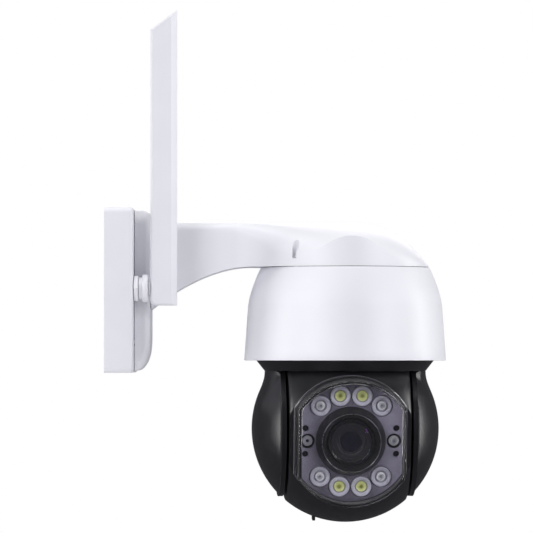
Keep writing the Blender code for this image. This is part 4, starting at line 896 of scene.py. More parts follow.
def bowl_mesh(bracket, sides):
    rim_under = BOWL_TOP_Z - 3.75
    rim_r = DOME_R - BOWL_RIM_INSET
    ledge = DECK_Z + GAP
    levels = [BOWL_TOP_Z - 1.2 - (BOWL_TOP_Z - 1.2 - BOWL_SHOULDER_Z) * i / 16 for i in range(17)]
    levels += [BOWL_SHOULDER_Z + (BOWL_BOTTOM_Z + 0.5 - BOWL_SHOULDER_Z) * i / 6 for i in range(1, 7)]
    profile = [(rim_r, BOWL_TOP_Z), (DOME_R, BOWL_TOP_Z)]
    profile += [(bowl_radius(z, bracket), z) for z in levels]
    profile += [(bowl_radius(BOWL_BOTTOM_Z, bracket) - 0.15, BOWL_BOTTOM_Z + 0.15),
                (bowl_radius(BOWL_BOTTOM_Z, bracket) - 0.5, BOWL_BOTTOM_Z)]
    profile += [(bowl_radius(z, bracket) - WALL, z) for z in (BOWL_BOTTOM_Z, ledge)]
    step = bowl_radius(ledge, bracket) - WALL - 2.2
    profile += [(step, ledge), (step, ledge + 2)]
    inner = [ledge + 2 + (rim_under - ledge - 2) * i / 4 for i in range(5)]
    profile += [(bowl_radius(z, bracket) - WALL, z) for z in inner]
    profile += [(rim_r, rim_under)]
    holes = [moved(slab(circle(CANOPY_HOLE_R, 24), rim_under - 1, BOWL_TOP_Z + 1),
                   shift(-FLARE_END, side * CANOPY_SCREW_Y)) for side in (-1, 1)]
    return carved(turned(profile, sides), holes)


def bottom_plate_mesh(bracket, sides):
    """A ring that closes the bowl, with two shallow grooves in its underside."""
    low = BOWL_BOTTOM_Z + 0.7
    high = low + 2
    outer = bowl_radius(high, bracket) - WALL - GAP
    inner = SKIRT_MOUTH_R - SHELL_WALL - 0.4
    profile = [(inner, high), (outer, high), (outer, low + 0.3), (outer - 0.3, low)]
    for radius in (outer - 2.0, inner + 4.0):
        profile += [(radius, low), (radius - 0.2, low + 0.4), (radius - 0.8, low + 0.4), (radius - 1.0, low)]
    return turned(profile + [(inner + 0.3, low), (inner, low + 0.3)], sides)


# ---------------------------------------------------------------- skirt, yoke and ball

def skirt_mesh(sides):
    return turned([(SKIRT_TOP_R - SHELL_WALL - 0.2, SKIRT_TOP_Z), (SKIRT_TOP_R - 0.3, SKIRT_TOP_Z),
                   (SKIRT_TOP_R, SKIRT_TOP_Z - 0.3), (SKIRT_MOUTH_R + 0.2, SKIRT_MOUTH_Z + 0.4),
                   (SKIRT_MOUTH_R - 0.1, SKIRT_MOUTH_Z + 0.1), (SKIRT_MOUTH_R - 0.5, SKIRT_MOUTH_Z),
                   (SKIRT_MOUTH_R - SHELL_WALL + 0.3, SKIRT_MOUTH_Z),
                   (SKIRT_MOUTH_R - SHELL_WALL, SKIRT_MOUTH_Z + 0.3)], sides)


def yoke_outline(radius, half, top):
    """A disc with a neck up to a given height."""
    start = math.degrees(math.acos(half / radius))
    return arc(radius, start, -180 - start, 90) + [(-half, top), (half, top)]


def yoke_plate_mesh(ball_radius):
    """A stamped arm: a disc round the tilt axle with a neck up to the turntable."""
    radius = math.sqrt(ball_radius ** 2 - CAP_IN ** 2) - 1.4
    outline = yoke_outline(radius, 19.5, TURNTABLE_BOTTOM_Z - GAP - BALL_Z)
    return slab(outline, YOKE_IN, YOKE_OUT, [circle(5.3)], edge=0.3)


def yoke_cover_mesh(ball_radius, blend):
    """The ball's side and its neck up to the skirt, as heights along X over the YZ plane, hollowed,
    with a lip over the yoke plate's edge."""
    rim = math.sqrt(ball_radius ** 2 - CAP_IN ** 2) + 0.8
    neck_half = 21.0
    land = CAP_IN + 0.9
    turn_top = math.degrees(math.asin(min(0.999, math.sqrt(rim ** 2 - neck_half ** 2) / rim)))
    levels = [rim * math.sin(math.radians(-90 + (90 + turn_top) * i / 56)) for i in range(1, 57)]
    levels += [levels[-1] + (NECK_TOP - levels[-1]) * i / 2 for i in (1, 2)]
    columns = [math.sin(math.radians(-90 + 180 * i / 48)) for i in range(49)]

    def surface(y, z):
        round_side = math.sqrt(max(1.0, ball_radius ** 2 - y ** 2 - z ** 2))
        neck = 0.0
        if z > 0:
            beyond = max(0.0, abs(y) - neck_half)
            neck = math.sqrt(SKIRT_MOUTH_R ** 2 - min(abs(y), neck_half) ** 2) - 2.5 * beyond
        return max(land, smooth_max(round_side, neck, blend))

    shape = bmesh.new()
    outer = []
    inner = []
    for z in levels:
        half = max(neck_half, math.sqrt(max(0.0, rim ** 2 - z ** 2))) if z > 0 else math.sqrt(rim ** 2 - z ** 2)
        outer.append([shape.verts.new((surface(half * c, z) * MM, half * c * MM, z * MM)) for c in columns])
        inner.append([shape.verts.new((CAP_IN * MM, half * c * MM, z * MM)) for c in columns])
    tip_outer = shape.verts.new((land * MM, 0, -rim * MM))
    tip_inner = shape.verts.new((CAP_IN * MM, 0, -rim * MM))
    last = len(columns) - 1
    for rows, tip in ((outer, tip_outer), (inner, tip_inner)):
        for i in range(last):
            shape.faces.new((tip, rows[0][i + 1], rows[0][i]))
            for near, far in zip(rows, rows[1:]):
                shape.faces.new((near[i], near[i + 1], far[i + 1], far[i]))
    for i in range(last):
        shape.faces.new((outer[-1][i], outer[-1][i + 1], inner[-1][i + 1], inner[-1][i]))
    for end in (0, last):
        shape.faces.new((tip_outer, outer[0][end], inner[0][end], tip_inner))
        for row in range(len(levels) - 1):
            shape.faces.new((outer[row][end], outer[row + 1][end], inner[row + 1][end], inner[row][end]))
    cover = closed_mesh(shape)
    wall_r = ball_radius - SHELL_WALL
    end = math.degrees(math.asin((CAP_IN - 1) / wall_r))
    hollow = moved(turned([(0, wall_r)] + arc(wall_r, 90, end, 20)[1:] + [(0, CAP_IN - 1)], 72), OUT_X)
    neck_r = SKIRT_MOUTH_R - SHELL_WALL
    half = neck_half - SHELL_WALL
    angle = math.degrees(math.asin(half / neck_r))
    outline = [(CAP_IN - 1, -half)] + arc(neck_r, -angle, angle, 16) + [(CAP_IN - 1, half)]
    cover = carved(cover, [hollow, slab(outline, 0, NECK_TOP - SHELL_WALL)])
    lip = slab(yoke_outline(rim - 0.06, neck_half - 0.06, NECK_TOP - 0.06), YOKE_IN + 0.3, CAP_IN + 0.3,
               [yoke_outline(rim - 2.0, neck_half - 1.3, NECK_TOP - 0.4)])
    return carved(cover, [moved(lip, OUT_X)], 'UNION')


def drum_mesh(radius, half_width, sides=160, soft=0.0):
    """A ball cut flat on both sides, turned about the tilt axis. Its corners are eased by soft."""
    end = math.degrees(math.asin(half_width / radius))
    corner = radius * math.cos(math.radians(end))
    if soft:
        ends = [(corner - soft, half_width), (corner - soft * 0.3, half_width - soft * 0.25)]
        rounds = arc(radius, end - math.degrees(soft / radius), math.degrees(soft / radius) - end, 40)
        tail = [(r, -z) for r, z in reversed(ends)]
        profile = [(0, half_width)] + ends + rounds + tail + [(0, -half_width)]
    else:
        profile = [(0, half_width)] + arc(radius, end, -end, 40) + [(0, -half_width)]
    return moved(turned(profile, sides), OUT_X)


def face_y(head):
    return -math.sqrt(head["ball_radius"] ** 2 - FACE_R ** 2)


def on_face(head, x=0.0, z=0.0):
    """Where a piece on the face stands: its own Z runs along the lens axis from the ball's rim."""
    return AT_HEAD @ shift(x, face_y(head), z) @ OUT_LENS


def head_shell_meshes(head):
    """The front and rear shells of the part that tilts, split square to the lens axis."""
    radius = head["ball_radius"]
    half = head["drum_half_width"]
    face = face_y(head)
    split = face + FRONT_SHELL_DEPTH
    rear = drum_mesh(radius, half, soft=0.6)
    slot = block((CARD_X - 6.3, CARD_Y - 4.3, -radius - 5), (CARD_X + 6.3, CARD_Y + 4.3, -44))
    axle = moved(slab(circle(5.4), -50, 50), OUT_X)
    rear = carved(rear, [drum_mesh(radius - SHELL_WALL, half - SHELL_WALL, 96),
                         block((-100, -100, -100), (100, split + GAP / 2, 100)), axle, slot])
    hollow = carved(drum_mesh(radius - SHELL_WALL, half - SHELL_WALL, 96),
                    [block((-100, -100, -100), (100, face + 2.0, 100))])
    mouth = moved(slab(clipped_circle(FACE_R - FACE_RIM, FACE_HALF_WIDTH - FACE_RIM + 0.2), -5, 5),
                  shift(0, face, 0) @ OUT_LENS)
    front = carved(drum_mesh(radius, half, soft=0.6),
                   [block((-100, -100, -100), (100, face, 100)),
                    block((-100, split - GAP / 2, -100), (100, 100, 100)), hollow, mouth])
    return front, rear


def card_cover_mesh(head):
    """A rubber plug whose outer face is the ball's own surface, with a tab to pull."""
    radius = head["ball_radius"]
    surface = -math.sqrt(radius ** 2 - CARD_X ** 2 - CARD_Y ** 2)
    outline = [(CARD_X + x, CARD_Y + y) for x, y in rounded_rectangle(6.0, -4.0, 4.0, 1.0)]
    plug = carved(slab(outline, -radius - 2, surface + 3.5), [drum_mesh(radius, head["drum_half_width"])],
                  'INTERSECT')
    tab = [(CARD_X + x, CARD_Y + y) for x, y in rounded_rectangle(0.9, -2.5, 2.5, 0.5)]
    return carved(plug, [slab(tab, surface - 2.1, surface + 2, edge=0.4)], 'UNION')


# ---------------------------------------------------------------- face

def window_mesh(head):
    """A clear tray with a rounded front edge, open towards the ball."""
    depth = head["window_depth"]

    def ring(height, inset):
        share = height / depth
        radius = FACE_R + (WINDOW_FRONT_R - FACE_R) * share - inset
        half_width = FACE_HALF_WIDTH + (WINDOW_FRONT_HALF_WIDTH - FACE_HALF_WIDTH) * share - inset
        return [(x, y, height) for x, y in clipped_circle(radius, half_width)]

    edge = 0.7
    inner_edge = 0.3
    inner_top = depth - WINDOW_WALL
    angles = [math.radians(a) for a in range(0, 91, 15)]
    rings = [ring(inner_top - inner_edge + inner_edge * math.sin(a),
                  WINDOW_WALL + inner_edge * (1 - math.cos(a))) for a in reversed(angles)]
    rings += [ring(GAP, WINDOW_WALL), ring(GAP, 0)]
    rings += [ring(depth - edge + edge * math.sin(a), edge * (1 - math.cos(a))) for a in angles]
    return skinned(rings)


def window_mask_mesh(head):
    """A thin black lining inside the window's side walls, so that nothing shows through them."""
    high = head["window_depth"] - WINDOW_WALL - MASK_SHORT
    share = high / head["window_depth"]
    radius = FACE_R + (WINDOW_FRONT_R - FACE_R) * share
    half_width = FACE_HALF_WIDTH + (WINDOW_FRONT_HALF_WIDTH - FACE_HALF_WIDTH) * share

    def frustum(inset, low, top):
        return skinned([[(x, y, low) for x, y in clipped_circle(FACE_R - inset, FACE_HALF_WIDTH - inset)],
                        [(x, y, top) for x, y in clipped_circle(radius - inset, half_width - inset)]])

    return carved(frustum(WINDOW_WALL + 0.1, PLATE_HIGH + 0.1, high),
                  [frustum(WINDOW_WALL + 0.4, 0.0, high + 1)])


def lamp_places(head):
    """Name and place of each lamp: four infrared outside, four white inside."""
    ring = head["lamp_ring"]
    places = []
    for kind, angle in (("ir", 40.5), ("white", 13.5)):
        for number, corner in enumerate((90 + angle, 90 - angle, 270 - angle, 270 + angle), 1):
            turn = math.radians(corner)
            places.append((kind, number, ring * math.cos(turn), ring * math.sin(turn)))
    return places


def lamp_plate_mesh(head):
    outline = clipped_circle(FACE_R - WINDOW_WALL - 0.8, FACE_HALF_WIDTH - WINDOW_WALL - 0.8)
    holes = [circle(head["lamp_radius"] + GAP, 48, (x, z)) for _, _, x, z in lamp_places(head)]
    holes += [circle(SENSOR_HOLE_R, 48, (side * SENSOR_X, 0)) for side in (-1, 1)]
    holes += [circle(PLATE_SCREW_HOLE_R, 32, place) for place in PLATE_SCREWS]
    holes.append(circle(HOOD_BORE_R, 96))
    return slab(outline, PLATE_LOW, PLATE_HIGH, holes, edge=0.25)


def lamp_cup_mesh(radius):
    """A moulded cup with a broad domed rim and a well for the chip."""
    front = PLATE_HIGH + 1.1
    return turned([(0, front - 2.2), (3.3, front - 2.2), (3.45, front - 0.7), (3.6, front - 0.45),
                   (radius - 1.0, front - 0.1), (radius - 0.6, front), (radius - 0.3, front - 0.05),
                   (radius, front - 0.35), (radius, LAMP_LOW), (0, LAMP_LOW)], 64)


def infrared_dome_mesh():
    """A cast lens over the infrared chip: a dome in a flat ring."""
    return turned([(0, 2.75), (0.35, 2.78), (0.6, 3.1), (0.95, 3.22), (1.3, 3.2), (1.5, 3.05), (1.62, 2.7),
                   (1.74, 3.0), (2.1, 3.02), (2.35, 2.9), (2.5, 2.6), (2.65, 2.1), (0, 2.1)], 48)


def gel_disc_mesh():
    """Phosphor gel with a raised ring over the chip and a raised rim."""
    return turned([(0, 2.25), (0.45, 2.25), (0.6, 2.6), (0.9, 2.62), (1.05, 2.3), (2.4, 2.4), (2.7, 2.6),
                   (2.95, 2.6), (3.05, 2.45), (3.05, 2.15), (0, 2.15)], 48)


def hood_mesh(head):
    """The lens hood: a cone with fine steps inside that kill stray light."""
    front = head["hood_depth"]
    low = PLATE_HIGH + GAP
    steps = 5
    bore_depth = 4.2
    profile = [(16.15, front - 0.1), (16.3, front), (16.7, front), (16.9, front - 0.2),
               (19.6, low + 0.3), (19.7, low), (HOOD_BORE_R, low), (HOOD_BORE_R, front - bore_depth)]
    rise = (bore_depth - 0.1) / steps
    for i in range(steps):
        radius = HOOD_BORE_R + 2.6 * (i + 1) / steps
        profile += [(radius, front - bore_depth + rise * i), (radius, front - bore_depth + rise * (i + 1))]
    return turned(profile, 128)


def hood_trim_mesh(head):
    """A bright ring let into the hood's front edge."""
    front = head["hood_depth"]
    return turned(circle(0.22, 12, (16.5, front + 0.1)), 128)


def barrel_mesh():
    """The lens barrel: stepped rings round a small inner glass, and a stem back to the sensor."""
    profile = [(0, 2.5), (5.9, 2.1), (6.1, 3.3), (6.4, 3.5), (6.8, 3.4)]
    for i in range(4):
        ring = 7.4 + 1.2 * i
        height = 3.6 + 0.35 * i
        profile += [(ring, height), (ring + 0.15, height + 0.22), (ring + 1.0, height + 0.22),
                    (ring + 1.1, height + 0.05)]
    profile += [(BARREL_R - 0.4, 5.1), (BARREL_R, 5.0), (BARREL_R, -5.2), (7.5, -5.2), (7.5, -18.0), (0, -18.0)]
    return turned(profile, 96)


def inner_glass_mesh():
    return turned([(5.4 * i / 10, 2.75 + 0.9 * (1 - (i / 10) ** 2)) for i in range(11)]
                  + [(5.4, 2.6), (0, 2.65)], 64)


def retaining_ring_mesh():
    """A threaded ring that holds the front glass, with a shallow polished chamfer towards it."""
    return turned([(GLASS_R + 0.1, 6.5), (GLASS_R + 0.9, 6.75), (GLASS_R + 1.0, 7.1), (BARREL_R - 0.2, 7.1),
                   (BARREL_R, 6.9), (BARREL_R, 5.5), (GLASS_R + 0.1, 5.5)], 96)


def front_glass_mesh():
    """A meniscus: domed in front and hollow behind, so the barrel shows through it."""
    crown = [(GLASS_R * i / 16, 6.4 + 1.8 * (1 - (i / 16) ** 2)) for i in range(17)]
    under = [(GLASS_R * i / 16, 5.6 + 0.9 * (1 - (i / 16) ** 2)) for i in range(16, -1, -1)]
    return turned(crown + under, 96)


# ---------------------------------------------------------------- antenna

def blade_ring(antenna, y, inset, front_inset):
    """The blade's outline at a depth, drawn in by its bevels."""
    back = BLADE_X + inset
    front = BLADE_X + BLADE_WIDTH - front_inset
    low = inset - BLADE_BELOW
    heel = antenna["heel"]
    slope = antenna["slant"] / BLADE_WIDTH
    top = BLADE_ABOVE - inset
    outline = arc(heel, 180, 270, 10, (back + heel, low + heel))
    outline += [(front, low), (front, top - slope * front_inset),
                (back, top - slope * (front_inset + front - back))]
    return [(x, y, z) for x, z in outline]


def blade_mesh(antenna, side):
    half = antenna["thickness"] / 2
    rings = [blade_ring(antenna, side * GAP / 2, 0, 0), blade_ring(antenna, side * (half - 1.5), 0, 0),
             blade_ring(antenna, side * half, 1.0, antenna["front_bevel"])]
    skin = 1.5
    hollow = block((BLADE_X + skin, skin - half, 2.0),
                   (BLADE_X + BLADE_WIDTH - skin - 2, half - skin, BLADE_ABOVE - antenna["slant"] - 6))
    bore = moved(slab(circle(3.3), BLADE_X - 1, BLADE_X + 4.7), OUT_X)
    return carved(skinned(rings), [hollow, bore])


def socket_mesh():
    """A socket with thread rings on its stem, a thumb disc, and a bore for the shaft."""
    back = COVER_BACK_X + NUT_THICK + GAP
    disc = back + 2
    front = disc + SOCKET_DISC_THICK
    profile = [(3.3, front), (7.0, front), (7.55, front - 0.25), (7.8, front - 0.8), (7.8, disc + 0.8),
               (7.55, disc + 0.25), (7.0, disc), (6.2, disc), (6.2, back + 0.2), (6.0, back), (4.0, back)]
    profile += [(4.0 - 0.25 * (i % 2), back - 0.5 - 0.4 * i) for i in range(16)]
    profile += [(4.0, BASE_DEPTH - 4.4), (1.5, BASE_DEPTH - 4.4), (1.5, BASE_DEPTH + 1.3),
                (3.3, BASE_DEPTH + 1.3)]
    return turned(profile, 64)


def shaft_mesh():
    front = COVER_BACK_X + NUT_THICK + GAP + 2 + SOCKET_DISC_THICK + GAP
    return turned([(0, BLADE_X + 4.4), (2.7, BLADE_X + 4.4), (3.0, BLADE_X + 4.1), (3.0, BLADE_X - GAP),
                   (4.3, BLADE_X - GAP), (4.5, BLADE_X - GAP - 0.2), (4.5, front + 0.2), (4.3, front),
                   (3.0, front), (3.0, BASE_DEPTH + 1.6), (0, BASE_DEPTH + 1.6)], 48)


# ---------------------------------------------------------------- operators

class CAMERA_OT_wall_base(bpy.types.Operator):
    """Build the wall base and its cover"""
    bl_idname = "camera_parts.wall_base"
    bl_label = "Wall Base"

    def execute(self, context):
        bracket = sizes(context.scene.camera_bracket)
        white = finish_of("white")
        show("base_housing", wall_base_mesh(bracket["base_edge"]), AT_WALL, white, "bracket", "white_abs",
             "wall_base")
        show("base_front_cover", base_cover_mesh(bracket["cover_edge"]), AT_WALL, white, "bracket", "white_abs",
             "base_cover")
        return {'FINISHED'}


class CAMERA_OT_arm(bpy.types.Operator):
    """Build the arm with its canopy, the strip under it and its screws"""
    bl_idname = "camera_parts.arm"
    bl_label = "Arm and Canopy"

    def execute(self, context):
        bracket = sizes(context.scene.camera_bracket)
        white = finish_of("white")
        show("canopy", canopy_mesh(bracket["canopy_rise"]), AT_WALL, white, "bracket", "white_abs",
             "arm_canopy", crease=24)
        show("arm_strip", arm_bottom_cover_mesh(), AT_WALL, white, "bracket", "white_abs", "arm_bottom_cover")
        seat = CANOPY_SCREW_FLOOR_Z - CANOPY_SINK_DROP + GAP
        for side, mark in ((-1, "left"), (1, "right")):
            place = shift(REACH - FLARE_END, side * CANOPY_SCREW_Y)
            stem = turned([(0, seat + 0.4), (1.0, seat + 0.4), (1.0, SEAM_Z - 2.8), (0.3, SEAM_Z - 3.4),
                           (0, SEAM_Z - 3.4)], 32)
            screw = carved(cross_head(bracket["screw_head"], seat, 1.0, 0.7), [stem], 'UNION')
            show(f"canopy_cross_screw_{mark}", screw, place, finish_of("steel"), "bracket", "steel",
                 f"canopy_screw_{mark}", round_piece=True)
        return {'FINISHED'}


class CAMERA_OT_bowl(bpy.types.Operator):
    """Build the bowl under the canopy and the plate that closes it"""
    bl_idname = "camera_parts.bowl"
    bl_label = "Bowl"

    def execute(self, context):
        bracket = sizes(context.scene.camera_bracket)
        sides = context.scene.camera_studio.facets
        white = finish_of("white")
        show("bowl", bowl_mesh(bracket, sides), AT_CANOPY, white, "bracket", "white_abs", "housing_bowl")
        show("bowl_bottom", bottom_plate_mesh(bracket, sides), AT_CANOPY, white, "bracket", "white_abs",
             "bottom_plate")
        return {'FINISHED'}


class CAMERA_OT_yoke(bpy.types.Operator):
    """Build the skirt, the two yoke plates and the covers over them"""
    bl_idname = "camera_parts.yoke"
    bl_label = "Skirt and Yoke"

    def execute(self, context):
        head = sizes(context.scene.camera_head)
        black = finish_of("black")
        radius = head["ball_radius"]
        show("skirt", skirt_mesh(context.scene.camera_studio.facets), AT_TURRET, black, "turret", "black_abs",
             "skirt_ring")
        half_turn = Matrix.Rotation(math.pi, 4, 'Z')
        for mark, out, turn in (("left", OUT_MINUS_X, half_turn), ("right", OUT_X, AT_WALL)):
            show(f"yoke_arm_{mark}", yoke_plate_mesh(radius), AT_BALL @ out, black, "turret", "black_abs",
                 f"yoke_plate_{mark}")
            show(f"yoke_side_{mark}", yoke_cover_mesh(radius, head["neck_blend"]), AT_BALL @ turn, black,
                 "turret", "black_abs", f"yoke_cover_{mark}")
        return {'FINISHED'}


class CAMERA_OT_head(bpy.types.Operator):
    """Build the shells of the part that tilts and the rubber card cover"""
    bl_idname = "camera_parts.head"
    bl_label = "Tilting Head"

    def execute(self, context):
        head = sizes(context.scene.camera_head)
        front, rear = head_shell_meshes(head)
        black = finish_of("black")
        show("head_front", front, AT_HEAD, black, "head", "black_abs", "head_front_shell")
        show("head_rear", rear, AT_HEAD, black, "head", "black_abs", "head_rear_shell")
        show("card_plug", card_cover_mesh(head), AT_HEAD, finish_of("rubber"), "card_cover", "black_rubber",
             "card_cover")
        return {'FINISHED'}


class CAMERA_OT_face(bpy.types.Operator):
    """Build the window with its lining and bead, the lamp plate, the lamps, the sensors and the screws"""
    bl_idname = "camera_parts.face"
    bl_label = "Window and Lamps"

    def execute(self, context):
        head = sizes(context.scene.camera_head)
        face = on_face(head)
        show("clear_window", window_mesh(head), face, finish_of("window"), "head", "clear_polycarbonate",
             "window")
        show("window_mask", window_mask_mesh(head), face, finish_of("rubber"), "head", "black_rubber")
        bead = slab(clipped_circle(FACE_R, FACE_HALF_WIDTH), 0.05, 0.55,
                    [clipped_circle(FACE_R - 0.4, FACE_HALF_WIDTH - 0.4)], edge=0.12)
        show("window_bead", bead, face, finish_of("sealant"), "head", "black_rubber")
        show("lamp_plate", lamp_plate_mesh(head), face, finish_of("plate"), "head", "grey_plate", "led_plate")
        for kind, number, x, z in lamp_places(head):
            place = on_face(head, x, z)
            slot = "plated_cup" if kind == "ir" else "phosphor_cup"
            show(f"{kind}_cup_{number}", lamp_cup_mesh(head["lamp_radius"]), place, finish_of("cup"),
                 "head", slot, f"{kind}_led_lens_{number}", round_piece=True)
            name, mesh, gel = (("ir_dome", infrared_dome_mesh(), "epoxy") if kind == "ir"
                               else ("white_gel", gel_disc_mesh(), "phosphor"))
            show(f"{name}_{number}", mesh, place, finish_of(gel), "head", slot, round_piece=True)
        for number, (x, z) in enumerate(PLATE_SCREWS, 1):
            show(f"plate_screw_{number}", cross_head(1.6, 0.5, 0.9, 0.6), on_face(head, x, z),
                 finish_of("dark_steel"), "head", "steel", round_piece=True)
        for mark, side in (("left", -1), ("right", 1)):
            seat = turned([(3.0, 0.7), (3.1, 0.9), (3.9, 0.9), (4.1, 0.6), (4.1, -1.9), (3.0, -1.9)], 48)
            show(f"sensor_seat_{mark}", seat, on_face(head, side * SENSOR_X), finish_of("rubber"), "head",
                 "black_rubber", round_piece=True)
        show("microphone_plug", turned([(0, 0.5), (0.85, 0.5), (0.9, 0.3), (0, 0.3)], 32),
             on_face(head, -SENSOR_X), finish_of("rubber"), "head", "black_rubber", round_piece=True)
        show("daylight_sensor", turned([(0, 1.5), (0.9, 1.4), (1.6, 1.0), (1.85, 0.5), (2.3, 0.5), (2.5, 0.7),
                                        (2.8, 0.7), (2.9, 0.5), (2.9, LAMP_LOW), (0, LAMP_LOW)], 48),
             on_face(head, SENSOR_X), finish_of("epoxy"), "head", "phosphor_cup", "light_sensor",
             round_piece=True)
        show("microphone_port", turned([(0, 0.2), (0.95, 0.2), (1.0, 1.3), (1.15, 1.4), (2.6, 1.4), (2.8, 1.2),
                                        (2.9, 0.8), (2.9, LAMP_LOW), (0, LAMP_LOW)], 48),
             on_face(head, -SENSOR_X), finish_of("cup"), "head", "steel", "microphone", round_piece=True)
        return {'FINISHED'}


class CAMERA_OT_lens(bpy.types.Operator):
    """Build the hood, its trim, the barrel, the retaining ring and the two glasses"""
    bl_idname = "camera_parts.lens"
    bl_label = "Lens"

    def execute(self, context):
        head = sizes(context.scene.camera_head)
        face = on_face(head)
        show("hood", hood_mesh(head), face, finish_of("black"), "head", "black_abs", "lens_hood", crease=25,
             round_piece=True)
        show("hood_trim", hood_trim_mesh(head), face, finish_of("trim"), "head", "steel", round_piece=True)
        show("barrel", barrel_mesh(), face, finish_of("barrel"), "head", "black_abs", "lens_barrel", crease=25,
             round_piece=True)
        show("inner_glass", inner_glass_mesh(), face, finish_of("lens"), "head", "coated_glass",
             round_piece=True)
        show("retaining_ring", retaining_ring_mesh(), face, finish_of("polished"), "head", "black_abs",
             round_piece=True)
        show("front_glass", front_glass_mesh(), face, finish_of("front_lens"), "head", "coated_glass",
             "lens_glass", round_piece=True)
        return {'FINISHED'}


class CAMERA_OT_antenna(bpy.types.Operator):
    """Build the antenna's nut, socket, shaft and blade"""
    bl_idname = "camera_parts.antenna"
    bl_label = "Antenna"

    def execute(self, context):
        antenna = sizes(context.scene.camera_antenna)
        white = finish_of("white")
        for mark, side in (("front", -1), ("back", 1)):
            show(f"blade_{mark}", blade_mesh(antenna, side), AT_ANTENNA, white, "antenna", "white_abs",
                 f"antenna_{mark}_shell", crease=15, edge=0.25)
        nut = slab(circle(NUT_ACROSS_FLATS / math.sqrt(3), 6), COVER_BACK_X, COVER_BACK_X + NUT_THICK,
                   [circle(4.3)], edge=0.3)
        show("socket_nut", nut, AT_ANTENNA @ OUT_X, white, "bracket", "white_abs", "antenna_nut")
        show("socket", socket_mesh(), AT_ANTENNA @ OUT_X, white, "bracket", "white_abs", "antenna_socket")
        show("blade_shaft", shaft_mesh(), AT_ANTENNA @ OUT_X, white, "antenna", "white_abs", "antenna_shaft")
        return {'FINISHED'}


class CAMERA_OT_inner_parts(bpy.types.Operator):
    """Give the carried-over parts inside the casings their finishes"""
    bl_idname = "camera_parts.inner_parts"
    bl_label = "Inner Parts"

    def execute(self, context):
        dress(finish_of("steel"), "wall_plate", "pan_bearing", "reset_button")
        dress(finish_of("can"), "pan_motor", "tilt_motor")
        dress(finish_of("acetal"), "motor_deck", "turntable", "hub_nut", "pan_gear", "pan_pinion", "tilt_gear",
              "tilt_pinion", "tilt_axle_left", "tilt_axle_right")
        dress(finish_of("board"), "charge_board", "main_board", "led_board", "sensor_board", "io_board",
              "antenna_element")
        dress(finish_of("sleeve"), "battery_pack")
        dress(finish_of("black"), "power_inlet")
        dress(finish_of("rubber"), "canopy_seal", "head_seal")
        return {'FINISHED'}


def soft_box(name, place, target, width, height, power, tint):
    """An area lamp that faces a point."""
    lamp = bpy.data.lights.new(name, 'AREA')
    lamp.shape = 'RECTANGLE'
    lamp.size = width
    lamp.size_y = height
    lamp.energy = power
    lamp.color = linear(tint)
    obj = bpy.data.objects.new(name, lamp)
    obj.location = place
    obj.rotation_euler = (Vector(target) - Vector(place)).to_track_quat('-Z', 'Y').to_euler()
    bpy.context.scene.collection.objects.link(obj)


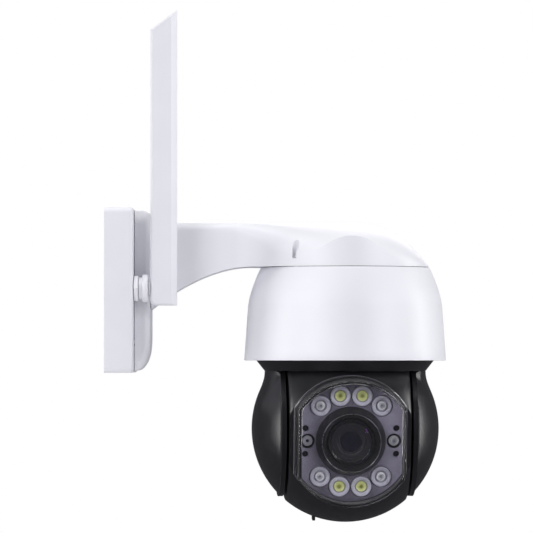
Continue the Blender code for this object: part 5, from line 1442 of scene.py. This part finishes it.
class CAMERA_OT_studio(bpy.types.Operator):
    """Build the pale floor, the soft boxes, the surround and the camera"""
    bl_idname = "camera_parts.studio"
    bl_label = "Studio"

    def execute(self, context):
        studio = context.scene.camera_studio
        material, tree, place = blank_material("pale_paper_floor")
        fibres = add_node(tree, "ShaderNodeTexNoise", {"Vector": place, "Scale": per_mm(40), "Detail": 3.0})
        tint = add_node(tree, "ShaderNodeMix", {
            0: fibres, 6: shade(linear("F2F2F3")), 7: shade(linear("F7F7F8"))}, 2, data_type='RGBA')
        shader = add_node(tree, "ShaderNodeBsdfPrincipled", {"Base Color": tint, "Roughness": 0.9})
        add_node(tree, "ShaderNodeOutputMaterial", {"Surface": shader})
        floor_mesh = turned([(0, 0), (FLOOR_R, 0), (FLOOR_R, -10), (0, -10)], 96)
        floor_mesh.materials.append(material)
        floor = bpy.data.objects.new("floor", floor_mesh)
        floor.location = (0, 0, FLOOR_Z * MM)
        floor.visible_glossy = False
        floor.visible_transmission = False
        context.scene.collection.objects.link(floor)

        middle = (VIEW_X * MM, 0.0, 0.0)
        soft_box("top_box", (0.1, -0.2, 1.8), middle, 1.6, 1.6, studio.top_power, "FFFFFF")
        soft_box("left_key", (-1.5, -2.1, 0.7), middle, 1.2, 1.6, studio.key_power, "FBFBFF")
        soft_box("right_key", (2.0, -1.9, 0.6), middle, 1.2, 1.6, studio.key_power, "FBFBFF")
        soft_box("left_strip", (-2.0, -0.25, 0.1), middle, 0.5, 1.8, studio.side_power, "FFFFFF")
        soft_box("right_strip", (2.2, 0.3, 0.1), middle, 0.5, 1.8, studio.side_power, "FFFFFF")
        soft_box("back_box", (0.3, 1.9, 1.0), middle, 1.4, 1.2, studio.key_power * 0.5, "FFFFFF")

        world = bpy.data.worlds.new("surround")
        world.use_nodes = True
        tree = world.node_tree
        tree.nodes.clear()
        seen = add_node(tree, "ShaderNodeBackground", {"Color": (1.0, 1.0, 1.0, 1.0), "Strength": 1.0})
        cast = add_node(tree, "ShaderNodeBackground", {"Color": shade(linear("E6E5F0")), "Strength": 0.10})
        ray = add_node(tree, "ShaderNodeLightPath", output="Is Camera Ray")
        mixed = add_node(tree, "ShaderNodeMixShader", {0: ray, 1: cast, 2: seen})
        add_node(tree, "ShaderNodeOutputWorld", {"Surface": mixed})
        context.scene.world = world
        context.scene.view_settings.view_transform = 'Standard'

        lens = bpy.data.cameras.new("view")
        lens.lens = studio.lens
        lens.clip_end = 100.0
        camera = bpy.data.objects.new("view", lens)
        camera.location = (VIEW_X * MM, -studio.distance, EYE_Z * MM)
        aim = Vector((VIEW_X * MM, 0, AIM_Z * MM)) - camera.location
        camera.rotation_euler = aim.to_track_quat('-Z', 'Y').to_euler()
        context.scene.collection.objects.link(camera)
        context.scene.camera = camera
        return {'FINISHED'}


class CAMERA_PT_parts(bpy.types.Panel):
    """Sizes, colours and builders of the security camera"""
    bl_idname = "CAMERA_PT_parts"
    bl_label = "Security Camera"
    bl_space_type = 'VIEW_3D'
    bl_region_type = 'UI'
    bl_category = "Camera"

    def draw(self, context):
        for name, group in GROUPS.items():
            box = self.layout.box()
            settings = getattr(context.scene, name)
            for key in group.__annotations__:
                box.prop(settings, key)
        for operator in OPERATORS:
            self.layout.operator(operator.bl_idname)


GROUPS = {
    "camera_bracket": CameraBracketSizes,
    "camera_head": CameraHeadSizes,
    "camera_antenna": CameraAntennaSizes,
    "camera_finishes": CameraFinishes,
    "camera_studio": CameraStudio,
}
OPERATORS = (CAMERA_OT_wall_base, CAMERA_OT_arm, CAMERA_OT_bowl, CAMERA_OT_yoke, CAMERA_OT_head, CAMERA_OT_face,
             CAMERA_OT_lens, CAMERA_OT_antenna, CAMERA_OT_inner_parts, CAMERA_OT_studio)


def register():
    for cls in (*GROUPS.values(), *OPERATORS, CAMERA_PT_parts):
        bpy.utils.register_class(cls)
    for name, group in GROUPS.items():
        setattr(bpy.types.Scene, name, PointerProperty(type=group))


def unregister():
    for name in GROUPS:
        delattr(bpy.types.Scene, name)
    for cls in reversed((*GROUPS.values(), *OPERATORS, CAMERA_PT_parts)):
        bpy.utils.unregister_class(cls)


def main():
    register()
    bpy.ops.camera_parts.wall_base()
    bpy.ops.camera_parts.arm()
    bpy.ops.camera_parts.bowl()
    bpy.ops.camera_parts.yoke()
    bpy.ops.camera_parts.head()
    bpy.ops.camera_parts.face()
    bpy.ops.camera_parts.lens()
    bpy.ops.camera_parts.antenna()
    bpy.ops.camera_parts.inner_parts()
    bpy.ops.camera_parts.studio()
    bpy.context.view_layer.update()


if __name__ == "__main__":
    main()
